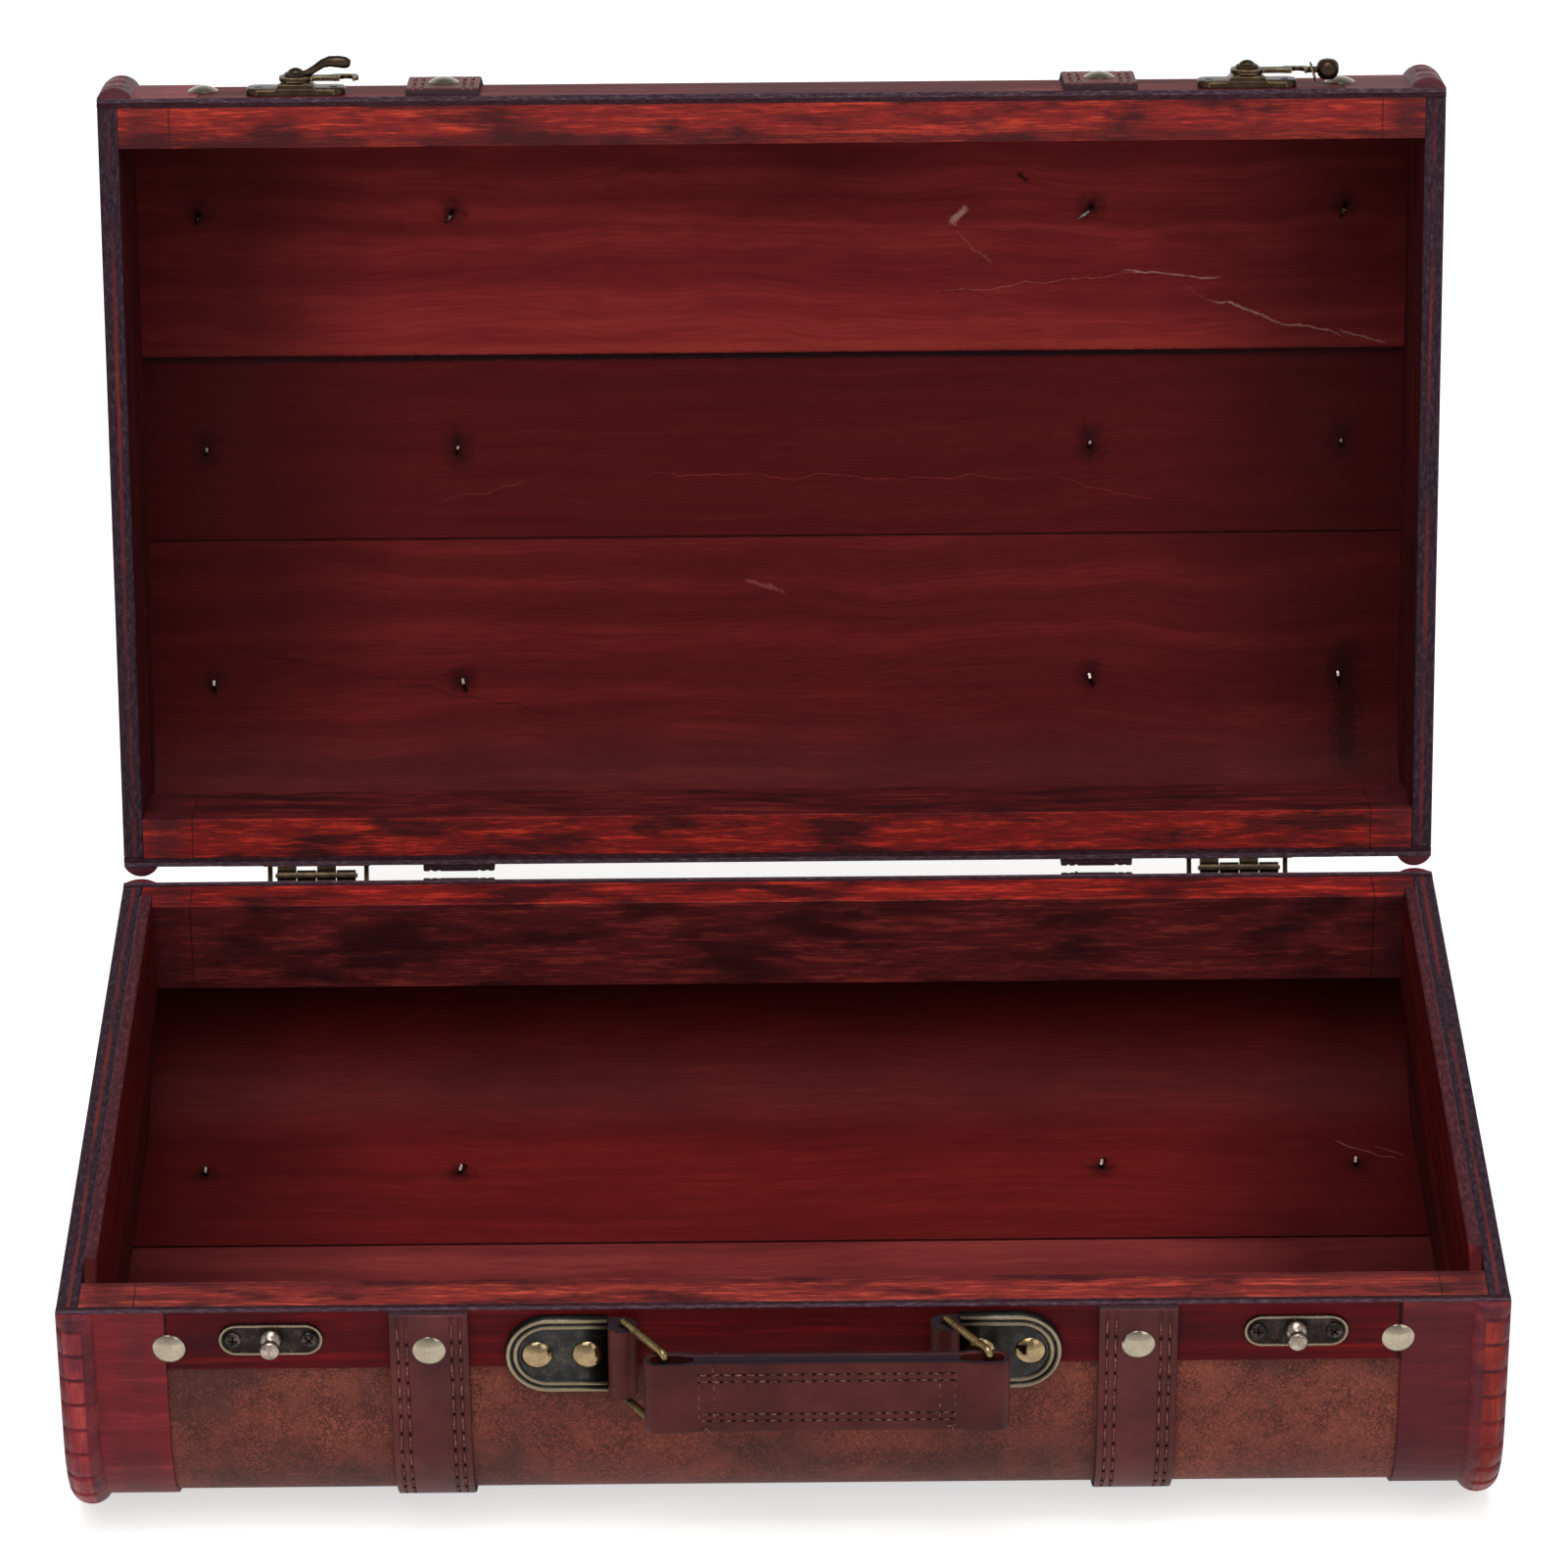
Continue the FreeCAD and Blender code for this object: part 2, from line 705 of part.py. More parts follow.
def keeperScrews():
    screws = []
    stems = []
    face = keeperThick - keeperSunk
    for side in (-1, 1):
        for end in (-1, 1):
            parts = screw(side * keeperPlace + end * keeperScrewPlace, -face, keeperDown, -1,
                          screwHeadHigh)
            screws.append(join(parts))
            stems.append(parts[1])
    return screws, stems


# ---- handle mounts, tabs, rings and handle ----
def mountOutline(sketch, side, outer, inner, tall):
    # long end rounded outward, short end open toward the middle
    radius = tall / 2
    centre = side * (outer - radius)
    first = 90 if side < 0 else -90
    bow = arc(sketch, centre, handleDown, radius, first, first + 180)
    high = 1 if side < 0 else 2
    low = 3 - high
    upper = line(sketch, centre, handleDown + radius, side * inner, handleDown + radius)
    lower = line(sketch, centre, handleDown - radius, side * inner, handleDown - radius)
    end = line(sketch, side * inner, handleDown + radius, side * inner, handleDown - radius)
    spot(sketch, bow, 3, centre, handleDown)
    hold(sketch, "Radius", bow, radius)
    hold(sketch, "Vertical", bow, 3, bow, high)
    hold(sketch, "Vertical", bow, 3, bow, low)
    hold(sketch, "Coincident", upper, 1, bow, high)
    hold(sketch, "Coincident", lower, 1, bow, low)
    hold(sketch, "Coincident", upper, 2, end, 1)
    hold(sketch, "Coincident", lower, 2, end, 2)
    hold(sketch, "Horizontal", upper)
    hold(sketch, "Vertical", end)
    hold(sketch, "DistanceX", -1, 1, end, 1, plain(side * inner))


def handleMount(side, holes):
    # stamped mount: dished in front, hollow behind for the leather tail
    body = newBody("mount")
    outline = newSketch(body, "XZ_Plane", 0)
    mountOutline(outline, side, mountOuter, mountInner, mountTall)
    pad(body, outline, mountThick)
    dish = newSketch(body, "XZ_Plane", mountThick)
    mountOutline(dish, side, mountOuter - mountRim, mountInner, mountTall - mountRim * 2)
    pocket(body, dish, mountSunk)
    hollow = newSketch(body, "XZ_Plane", 0)
    mountOutline(hollow, side, mountOuter - mountRim / 3, mountInner, tabTall + tailGap * 2)
    pocket(body, hollow, tailThick, True)
    return cut(body, holes)


def mountRivets():
    rivets = []
    stems = []
    face = mountThick - mountSunk
    for side in (-1, 1):
        for place in (rivetOuter, rivetInner):
            head = dome(side * place, -face, handleDown, rivetWide, rivetHigh, toFront, (0, -1, 0))
            stem = shank(side * place, -face, handleDown, screwWide, screwDeep, toBack)
            rivets.append(join([head, stem]))
            stems.append(stem)
    return rivets, stems


def handleTab(side, holes):
    # leather folded round the ring, both tails under the mount
    radius = tabRollWide / 2
    low = handleDown - tabTall / 2
    roll = rod(side * tabPlace, -radius, low, tabRollWide, tabTall)
    reach = tailLong
    start = tabPlace if side > 0 else -tabPlace - tailLong
    tail = box(start, -tailThick, low, reach, tailThick, tabTall)
    bore = rod(side * tabPlace, -radius, low, wireWide + wirePlay * 2, tabTall)
    return cut(cut(join([roll, tail]), bore), holes)


def handleRing():
    # wire rectangle, near bar on the local Z axis
    high = tabTall / 2 + ringEndGap + wireWide / 2
    inner = high - ringRound
    far = ringReach - ringRound
    parts = [rod(0, 0, -inner, wireWide, inner * 2), rod(ringReach, 0, -inner, wireWide, inner * 2)]
    for sign in (-1, 1):
        up = (0, 0, sign)
        parts.append(rod(ringRound, 0, sign * high, wireWide, far - ringRound, toSide))
        parts.append(quarter(ringRound, 0, sign * inner, ringRound, wireWide,
                             turnAxes((-1, 0, 0), up, (0, sign, 0))))
        parts.append(quarter(far, 0, sign * inner, ringRound, wireWide,
                             turnAxes((1, 0, 0), up, (0, -sign, 0))))
    return join(parts)


def handleOuter():
    # outer strap sewn round both rings, hollow for the flat core
    body = newBody("handle")
    low = -handleTall / 2
    outline = newSketch(body, "XY_Plane", low)
    stadium(outline, plain(0), plain(0), handleLong, handleThick)
    pad(body, outline, handleTall)
    slots = newSketch(body, "XY_Plane", handleTall / 2)
    for side in (-1, 1):
        circle(slots, side * tabPlace, 0, wireWide + wirePlay * 2)
    halfLong = coreLong / 2 + coreGap
    halfThick = coreThick / 2 + coreGap
    polygon(slots, [(-halfLong, -halfThick), (halfLong, -halfThick),
                    (halfLong, halfThick), (-halfLong, halfThick)])
    pocket(body, slots, handleTall)
    return body


def handleCore():
    return group([box(-coreLong / 2, -coreThick / 2, -handleTall / 2, coreLong, coreThick, handleTall)])


# ---- hinges, drawn rim down for the base and rim up for the lid ----
def hingeLeaf(place, slots, holes):
    # leaf on the back face with rolled knuckles on a short web
    radius = knuckleWide / 2
    parts = [box(place - leafWide / 2, depth, radius, leafWide, leafThick, leafTall - radius)]
    for slot in slots:
        start = place + (slot - 2) * knuckleLong + knuckleGap / 2
        long = knuckleLong - knuckleGap
        parts.append(box(start, depth, radius - leafThick, long, pinBehind, leafThick))
        parts.append(box(start, depth, radius - leafThick, long, leafThick, leafThick * 2))
        parts.append(rod(start, pinPlaceY, 0, knuckleWide, long, toSide))
    bore = rod(place - knuckleLong * 2, pinPlaceY, 0, pinWide + pinPlay * 2, knuckleLong * 4, toSide)
    return cut(cut(join(parts), bore), holes)


def leafScrews():
    screws = []
    stems = []
    for side in (-1, 1):
        for end in (-1, 1):
            parts = screw(side * hingePlace + end * leafScrewPlace, depth + leafThick,
                          leafScrewDown, 1, leafScrewHigh)
            screws.append(join(parts))
            stems.append(parts[1])
    return screws, stems


def stayArm(x):
    # curved arm round the pin: springs from the lid leaf and meets the base leaf when open
    lean = arccosOf((pinBehind - leafThick) / stayReach)
    start = lean - 180 + lidOpen + stayGap
    outer = rod(0, 0, 0, stayReach * 2, stayThick)
    outer.Angle = 90
    bind(outer, "Angle", 180 - lean + stayLap - start)
    arm = cut(outer, rod(0, 0, 0, (stayReach - stayHigh) * 2, stayThick))
    turned = atPlace % (x.text, pinPlaceY.text, "0", "1; 1; 1", "120")
    arm.setExpression("Placement", turned + " * " + atPlace % ("0", "0", "0", "0; 0; 1", start.text))
    return cut(arm, box(x, depth - leafThick, 0, stayThick, leafThick * 2, leafTall))


# ---- clasp plates and hooks on the lid front ----
def claspPlate(place, holes):
    # low ends and a raised boss with sloping sides, drawn looking down on the lid
    body = newBody("clasp")
    profile = newSketch(body, "XY_Plane", claspUp - claspTall / 2)
    end = claspLong / 2
    top = bossWide / 2
    foot = top + bossSlope
    polygon(profile, [
        (place - end, 0), (place + end, 0), (place + end, -claspThick),
        (place + foot, -claspThick), (place + top, -bossHigh), (place - top, -bossHigh),
        (place - foot, -claspThick), (place - end, -claspThick)])
    pad(body, profile, claspTall)
    return cut(body, holes)


def claspFasteners():
    # pivot rivet through the hook, and two flush pins through the plate's ends
    fasteners = []
    stems = []
    face = bossHigh + hookThick + hubHigh + hookPlay * 2
    for side in (-1, 1):
        x = side * claspPlace
        head = dome(x, -face, claspUp, capWide, capHigh, toFront, (0, -1, 0))
        stem = rod(x, -face, claspUp, screwWide, face + screwDeep, toBack)
        fasteners.append(join([head, stem]))
        stems.append(stem)
        for end in (-1, 1):
            pin = shank(x + end * claspPinPlace, -claspThick, claspUp, screwWide, screwDeep, toBack)
            fasteners.append(pin)
            stems.append(pin)
    return fasteners, stems


def hookPlate(place):
    # flat hook: pivot disc, hub, arm, and a head with a slot that swings over the keeper's waist
    reach = claspUp + keeperDown
    face = bossHigh + hookPlay
    outer = face + hookThick
    headStart = place + reach - slotWide / 2 - slotWall
    headLong = slotWide + slotWall * 2
    disc = rod(place, -face, claspUp, hookDisc, hookThick, toFront)
    hub = rod(place, -outer, claspUp, hubWide, hubHigh, toFront)
    arm = box(place, -outer, claspUp - hookArm / 2, headStart - place + slotWall / 2, hookThick,
              hookArm)
    head = box(headStart, -outer, claspUp - slotDeep, headLong, hookThick,
               slotDeep + slotWide / 2 + slotWall)
    mouth = box(place + reach - slotWide / 2, -outer, claspUp - slotDeep, slotWide, hookThick,
                slotDeep)
    root = rod(place + reach, -face, claspUp, slotWide, hookThick, toFront)
    bore = rod(place, -face, claspUp, screwWide + screwPlay * 2, hookThick + hubHigh, toFront)
    return cut(join([disc, hub, arm, head]), group([mouth, root, bore])), headStart + headLong


def leftHook(place):
    # thumb finger springs from the hub, arches over the hook and ends in a thick tip
    plate, end = hookPlate(place)
    body = newBody("finger")
    side = newSketch(body, "XY_Plane", claspUp - fingerWide / 2)
    low = bossHigh + hookPlay + hookThick
    foot = place + fingerStart + capWide / 2
    shoulder = place + fingerEnd / 2
    tip = place + fingerEnd
    polygon(side, [
        (foot - tipEase / 2, -low),
        (foot + fingerFoot, -low),
        (shoulder, -fingerHigh + fingerThick),
        (tip - tipLong, -fingerHigh + tipThick),
        (tip, -fingerHigh + tipThick - tipEase),
        (tip, -fingerHigh + tipEase),
        (tip - tipLong, -fingerHigh),
        (shoulder + tipLong, -fingerHigh),
        (shoulder - tipLong, -fingerHigh + tipEase),
    ])
    pad(body, side, fingerWide)
    return join([plate, body])


def rightHook(place):
    # the head runs out to a neck and a round finger knob
    plate, end = hookPlate(place)
    y = -bossHigh - hookPlay - hookThick / 2
    start = end - slotWall / 2
    neck = rod(start, y, claspUp, ballNeckWide, ballNeckLong, toSide)
    knob = ball(start + ballNeckLong + ballWide / 2 - hookPlay, y, claspUp, ballWide)
    return join([plate, neck, knob]), end, y


# ---- build ----
screws, screwStems = keeperScrews()
rivets, rivetStems = mountRivets()
hingeScrews, hingeStems = leafScrews()
half("base", baseFrame, baseTall, studRowBase, True, screwStems + rivetStems + hingeStems)

piece(group([keeperPlate(side * keeperPlace, group(screwStems)) for side in (-1, 1)]),
      "keeper_plates", baseFrame)
piece(group([keeperKnob(side * keeperPlace) for side in (-1, 1)]), "keeper_knobs", baseFrame)
piece(group(screws), "keeper_screws", baseFrame)
piece(group(rivets), "handle_mount_rivets", baseFrame)
for side, sign in (("left", 1), ("right", -1)):
    piece(handleMount(sign, group(rivetStems)), "handle_mount_" + side, baseFrame)
    piece(handleTab(sign, group(rivetStems)), "handle_tab_" + side, baseFrame)

piece(group([hingeLeaf(side * hingePlace, (0, 2), group(hingeStems)) for side in (-1, 1)]),
      "hinge_base_leaves", baseFrame)
piece(group(hingeScrews), "hinge_base_screws", baseFrame)
pins = []
for side in (-1, 1):
    start = side * hingePlace - knuckleLong * 2 - pinEnd
    pins.append(rod(start, pinPlaceY, 0, pinWide, knuckleLong * 4 + pinEnd * 2, toSide))
piece(group(pins), "hinge_pins", baseFrame)

# liners stand a little above the rim and locate the lid
for side, sign in (("left", 1), ("right", -1)):
    start = panelIn - linerGap - linerThick if sign > 0 else -panelIn + linerGap
    body = newBody("liner")
    board = newSketch(body, "YZ_Plane", start)
    first = railIn + linerGap
    last = depth - railIn - linerBackGap
    top = -linerProud
    low = linerTall - linerProud
    polygon(board, [(first + linerRound, top), (last, top), (last, low), (first, low),
                    (first, top + linerRound)])
    pad(body, board, linerThick)
    piece(body, "base_liner_" + side, baseFrame)

lidHingeScrews, lidHingeStems = leafScrews()
claspRivets, claspStems = claspFasteners()
half("lid", lidFrame, lidTall, studRowLid, False, lidHingeStems + claspStems)
piece(group([hingeLeaf(side * hingePlace, (0, 2), group(lidHingeStems)) for side in (-1, 1)]),
      "hinge_lid_leaves", lidFrame)
piece(group(lidHingeScrews), "hinge_lid_screws", lidFrame)
piece(group([claspPlate(side * claspPlace, group(claspStems)) for side in (-1, 1)]),
      "clasp_plates", lidFrame)
piece(group(claspRivets), "clasp_rivets", lidFrame)
piece(leftHook(-claspPlace), "hook_left", lidFrame)
knobHook, neckStart, neckY = rightHook(claspPlace)
piece(knobHook, "hook_right", lidFrame)

# stop arms on the lid leaves
arms = []
for side in (-1, 1):
    for edge in (-1, 1):
        arms.append(stayArm(side * hingePlace + edge * stayPlace - stayThick / 2))
piece(group(arms), "hinge_stays", lidFrame)

# loose wire ring hanging on the neck of the right hook, clear of the rim strip
loop = doc.addObject("Part::Torus", "loop")
bind(loop, "Radius1", loopRound)
bind(loop, "Radius2", loopWire / 2)
hang = loopRound - loopWire / 2 - ballNeckWide / 2 - hookPlay
loopPlaces = atPlace % (
    (neckStart + (ballNeckLong - slotWall / 2) / 2).text,
    (neckY + hang * cosOf(loopLean)).text,
    (claspUp - hang * sinOf(loopLean)).text,
    "1; 0; 0", (-loopLean).text)
loopPlaces += " * " + atPlace % ("0", "0", "0", "0; 1; 0", (-loopTurn).text)
loop.setExpression("Placement", loopPlaces)
piece(group([loop]), "hook_wire_ring", lidFrame)

# rings and handle, swung to the right
barY = frontPlace - tabRollWide / 2
barZ = rimUp - handleDown
ringTurn = atPlace % ("%s", barY.text, barZ.text, "0; 0; 1", (-ringSwing).text)
piece(handleRing(), "handle_ring_left", ringTurn % (-tabPlace).text)
piece(handleRing(), "handle_ring_right", ringTurn % tabPlace.text)
handleX = ringReach * cosOf(ringSwing)
handleY = barY - ringReach * sinOf(ringSwing)
handleFrame = atPlace % (handleX.text, handleY.text, barZ.text, "0; 0; 1", "0")
piece(handleOuter(), "handle_outer_leather", handleFrame)
piece(handleCore(), "handle_inner_leather", handleFrame)

doc.recompute()

for item in doc.Objects:
    if "Invalid" in item.State or "Error" in item.State:
        raise RuntimeError("%s (%s) did not build: %s" % (item.Name, item.Label, item.State))
for item in nodes:
    if item.Shape.isNull() or not item.Shape.isValid() or not item.Shape.Solids:
        raise RuntimeError("%s has no sound shape" % item.Label)
for item in nodes:
    item.Shape.exportStep("parts/%s.step" % item.Label)
print("%d pieces written" % len(nodes))
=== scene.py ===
import json
import math
import random
import bpy
import bmesh
from bmesh.types import BMEdge, BMFace, BMVert
from mathutils import Matrix, Vector

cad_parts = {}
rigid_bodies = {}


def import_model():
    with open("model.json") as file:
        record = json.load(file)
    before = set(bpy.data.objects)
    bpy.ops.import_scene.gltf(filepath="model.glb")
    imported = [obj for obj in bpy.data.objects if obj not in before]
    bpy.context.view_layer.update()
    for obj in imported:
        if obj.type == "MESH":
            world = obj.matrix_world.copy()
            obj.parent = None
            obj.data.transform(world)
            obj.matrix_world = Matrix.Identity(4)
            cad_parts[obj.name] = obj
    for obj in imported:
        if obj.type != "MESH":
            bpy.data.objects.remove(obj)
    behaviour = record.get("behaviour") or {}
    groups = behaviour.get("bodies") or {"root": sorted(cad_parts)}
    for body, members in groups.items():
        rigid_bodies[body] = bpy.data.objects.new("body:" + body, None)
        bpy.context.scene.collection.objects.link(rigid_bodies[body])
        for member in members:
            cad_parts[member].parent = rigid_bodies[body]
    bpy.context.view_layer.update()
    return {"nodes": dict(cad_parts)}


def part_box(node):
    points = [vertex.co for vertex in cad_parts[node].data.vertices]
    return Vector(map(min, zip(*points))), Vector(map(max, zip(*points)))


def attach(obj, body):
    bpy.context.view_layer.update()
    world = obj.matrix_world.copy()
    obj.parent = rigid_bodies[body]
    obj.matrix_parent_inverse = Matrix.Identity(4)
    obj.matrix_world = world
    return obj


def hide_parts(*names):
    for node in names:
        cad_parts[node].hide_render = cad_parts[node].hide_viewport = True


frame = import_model()
print("frame loaded")

# Both halves are worked in their own millimetres: x across, y back from the front face,
# h away from the rim. These are the sizes that the pieces share.
case = {
    "rimUp": 65.85,
    "front": -132.0,
    "depth": 196.0,
    "halfWide": 165.0,
    "corner": 29.0,
    "pinBack": 2.6,
    "open": 103.0,
    "tall": {"base": 63.4, "lid": 45.4},
}
swing = math.radians(case["open"])
swingCos = math.cos(swing)
swingSin = math.sin(swing)
pinY = case["front"] + case["depth"] + case["pinBack"]
pinFromFront = case["depth"] + case["pinBack"]


def halfMatrix(half):
    # from a half's own millimetres to metres in the shared frame
    if half == "base":
        turn = Matrix(((1, 0, 0, 0), (0, 1, 0, case["front"]), (0, 0, -1, case["rimUp"]), (0, 0, 0, 1)))
    else:
        backY = pinY - pinFromFront * swingCos
        backZ = case["rimUp"] + pinFromFront * swingSin
        turn = Matrix(((1, 0, 0, 0), (0, swingCos, swingSin, backY),
                       (0, -swingSin, swingCos, backZ), (0, 0, 0, 1)))
    return Matrix.Scale(0.001, 4) @ turn


def makeObject(bm, name, body, materials, smooth=True):
    # a finished mesh, rounded where faces meet softly and crisp where they don't
    mesh = bpy.data.meshes.new(name)
    bm.to_mesh(mesh)
    bm.free()
    obj = bpy.data.objects.new(name, mesh)
    bpy.context.collection.objects.link(obj)
    for material in materials:
        mesh.materials.append(material)
    if smooth:
        mesh.shade_smooth()
        mesh.set_sharp_from_angle(angle=math.radians(38))
    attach(obj, body)
    return obj


def placeMesh(bm, half):
    bmesh.ops.remove_doubles(bm, verts=bm.verts, dist=0.0005)
    bmesh.ops.transform(bm, matrix=halfMatrix(half), verts=bm.verts)
    bmesh.ops.recalc_face_normals(bm, faces=bm.faces)


def colour(code):
    # sRGB hex to linear
    parts = [int(code[i:i + 2], 16) / 255 for i in (1, 3, 5)]
    return [p / 12.92 if p <= 0.04045 else ((p + 0.055) / 1.055) ** 2.4 for p in parts] + [1.0]


def addNode(tree, kind, inputs=None, stops=None, **settings):
    # one node with its settings, its values and its links; the kind is its type without ShaderNode
    node = tree.nodes.new("ShaderNode" + kind)
    for key, value in settings.items():
        setattr(node, key, value)
    if stops:
        ramp = node.color_ramp
        while len(ramp.elements) < len(stops):
            ramp.elements.new(0.5)
        for element, (place, code) in zip(ramp.elements, stops):
            element.position = place
            element.color = colour(code) if isinstance(code, str) else (code, code, code, 1)
    for key, value in (inputs or {}).items():
        if isinstance(key, int):
            socket = node.inputs[key]
        else:
            socket = next(s for s in node.inputs if s.name == key and s.enabled)
        if isinstance(value, bpy.types.Node):
            value = next(s for s in value.outputs if s.enabled)
        if isinstance(value, bpy.types.NodeSocket):
            tree.links.new(value, socket)
        else:
            socket.default_value = value
    return node


def newMaterial(name):
    material = bpy.data.materials.new(name)
    material.use_nodes = True
    tree = material.node_tree
    tree.nodes.clear()
    return material, tree


def halfCoords(tree, half, seed=0.0):
    # the half's own millimetres, read from the object's place
    place = addNode(tree, "TexCoord").outputs["Object"]
    if half == "base":
        return addNode(tree, "Mapping", {
            "Vector": place, "Scale": (1000, 1000, -1000),
            "Location": (seed, -case["front"], case["rimUp"])})
    y = pinFromFront - (swingCos * pinY - swingSin * case["rimUp"])
    h = -(swingSin * pinY + swingCos * case["rimUp"])
    return addNode(tree, "Mapping", {
        "Vector": place, "Scale": (1000, 1000, 1000),
        "Rotation": (swing, 0, 0), "Location": (seed, y, h)})


def threeStops(middle, spread, codes):
    return list(zip((middle - spread, middle, middle + spread), codes))


def finishMaterial(tree, tint, rough, bump=None, bumpDepth=0.0, metallic=0.0, gloss=0.12):
    shader = addNode(tree, "BsdfPrincipled", {
        "Base Color": tint, "Roughness": rough, "Metallic": metallic})
    if not metallic:
        # dye and wax leave these surfaces nearly matt
        shader.inputs["Specular IOR Level"].default_value = gloss
    if bump is not None:
        relief = addNode(tree, "Bump", {"Height": bump, "Distance": bumpDepth, "Strength": 1.0})
        tree.links.new(relief.outputs["Normal"], shader.inputs["Normal"])
    addNode(tree, "OutputMaterial", {"Surface": shader})


def stainedWood(name, look):
    # Poplar and pine rubbed with red stain under thin satin lacquer: broad soft figure, long
    # fine grain, short dark pores, and clouds where the stain pooled.
    material, tree = newMaterial(name)
    coords = halfCoords(tree, look["half"], look["seed"])
    long, wide = look["grain"]
    along = [1 / long if axis == look["along"] else 1 / wide for axis in "xyz"]
    wander = addNode(tree, "TexNoise", {"Vector": coords, "Scale": 0.016, "Detail": 2.0})
    bent = addNode(tree, "VectorMath", {
        0: wander.outputs["Color"], 1: (look["bend"], look["bend"], look["bend"]), 2: coords},
        operation="MULTIPLY_ADD")
    grains = []
    for scale, detail in ((1.0, 4.0), (look["hair"], 3.0), (look["broad"], 2.0)):
        stretched = addNode(tree, "Mapping", {"Vector": bent, "Scale": [v * scale for v in along]})
        grains.append(addNode(tree, "TexNoise", {
            "Vector": stretched, "Scale": 1.0, "Detail": detail, "Roughness": 0.6}))
    streaks, hair, figure = grains
    # growth rings cut at a low angle give nested soft bands
    rings = addNode(tree, "Math", {0: figure, 1: look["rings"]}, operation="MULTIPLY")
    band = addNode(tree, "Math", {0: rings, 1: 1.0}, operation="PINGPONG")
    soft = addNode(tree, "MapRange", {"Value": band}, interpolation_type="SMOOTHSTEP")
    ground = addNode(tree, "Math", {0: soft, 1: look["figure"], 2: 0.0}, operation="MULTIPLY_ADD")
    ground = addNode(tree, "Math", {0: streaks, 1: look["streak"], 2: ground}, operation="MULTIPLY_ADD")
    ground = addNode(tree, "Math", {0: hair, 1: look["fine"], 2: ground}, operation="MULTIPLY_ADD")
    middle = (look["figure"] + look["streak"] + look["fine"]) / 2
    spread = look["spread"]
    tint = addNode(tree, "ValToRGB", {"Fac": ground}, stops=threeStops(middle, spread, look["tones"]))
    cloud = addNode(tree, "TexNoise", {
        "Vector": addNode(tree, "Mapping", {"Vector": coords, "Scale": look["cloud"]}),
        "Scale": 1.0, "Detail": 5.0, "Roughness": 0.6})
    low, high = look["cloudCut"]
    pooled = addNode(tree, "MapRange", {
        "Value": cloud, "From Min": low, "From Max": high, "To Min": 0.0, "To Max": look["cloudFull"]})
    height = addNode(tree, "SeparateXYZ", {"Vector": coords}).outputs["Z"]
    ragged = addNode(tree, "Math", {0: streaks, 1: 0.5, 2: height}, operation="MULTIPLY_ADD")
    rim = addNode(tree, "MapRange", {
        "Value": ragged, "From Min": look["rimDeep"] + 0.15, "From Max": look["rimDeep"] + 0.45,
        "To Min": 1.0, "To Max": 0.0})
    if "sawn" in look:
        # the sawn rim face drank less stain and glows orange through the lacquer
        sawn = addNode(tree, "ValToRGB", {"Fac": ground}, stops=threeStops(middle, spread, look["sawn"]))
        tint = addNode(tree, "Mix", {0: rim, 6: tint, 7: sawn}, data_type="RGBA")
    tint = addNode(tree, "Mix", {0: pooled, 6: tint, 7: colour(look["stain"])}, data_type="RGBA")
    pores = addNode(tree, "TexNoise", {
        "Vector": addNode(tree, "Mapping", {"Vector": bent, "Scale": [v * 4 for v in along]}),
        "Scale": 1.5, "Detail": 3.0, "Roughness": 0.7})
    poreMask = addNode(tree, "MapRange", {
        "Value": pores, "From Min": 0.6, "From Max": 0.74, "To Min": 0.0, "To Max": look["pores"]})
    tint = addNode(tree, "Mix", {0: poreMask, 6: tint, 7: colour(look["pore"])}, data_type="RGBA")
    if "marks" in look:
        tint = look["marks"](tree, coords, tint, look)
    if "edge" in look:
        # the cut rim edge took more stain and stays dark, with grey where it was handled
        handled = addNode(tree, "TexNoise", {
            "Vector": addNode(tree, "Mapping", {"Vector": coords, "Scale": [0.25 + v for v in along]}),
            "Scale": 1.6, "Detail": 6.0, "Roughness": 0.75})
        rubbed = addNode(tree, "ValToRGB", {"Fac": handled}, stops=threeStops(0.54, 0.16, look["edge"]))
        tint = addNode(tree, "Mix", {0: rim, 6: tint, 7: rubbed}, data_type="RGBA")
    if "plies" in look:
        # the middle plies of the cut edge show red between the darker faces
        across = addNode(tree, "SeparateXYZ", {"Vector": coords}).outputs["X"]
        offCentre = addNode(tree, "Math", {0: across, 1: look["seed"]}, operation="SUBTRACT")
        offCentre = addNode(tree, "Math", {0: offCentre}, operation="ABSOLUTE")
        offCentre = addNode(tree, "Math", {0: offCentre, 1: look["plies"]}, operation="SUBTRACT")
        offCentre = addNode(tree, "Math", {0: streaks, 1: 1.4, 2: offCentre}, operation="MULTIPLY_ADD")
        offCentre = addNode(tree, "Math", {0: offCentre, 1: 0.7}, operation="SUBTRACT")
        offCentre = addNode(tree, "Math", {0: offCentre}, operation="ABSOLUTE")
        ply = addNode(tree, "MapRange", {
            "Value": offCentre, "From Min": 0.3, "From Max": 0.55, "To Min": 0.75, "To Max": 0.0})
        broken = addNode(tree, "MapRange", {"Value": cloud, "From Min": 0.4, "From Max": 0.62})
        ply = addNode(tree, "Math", {0: ply, 1: broken}, operation="MULTIPLY")
        ply = addNode(tree, "Math", {0: ply, 1: rim}, operation="MULTIPLY")
        tint = addNode(tree, "Mix", {0: ply, 6: tint, 7: colour("#752926")}, data_type="RGBA")
    if "walls" in look:
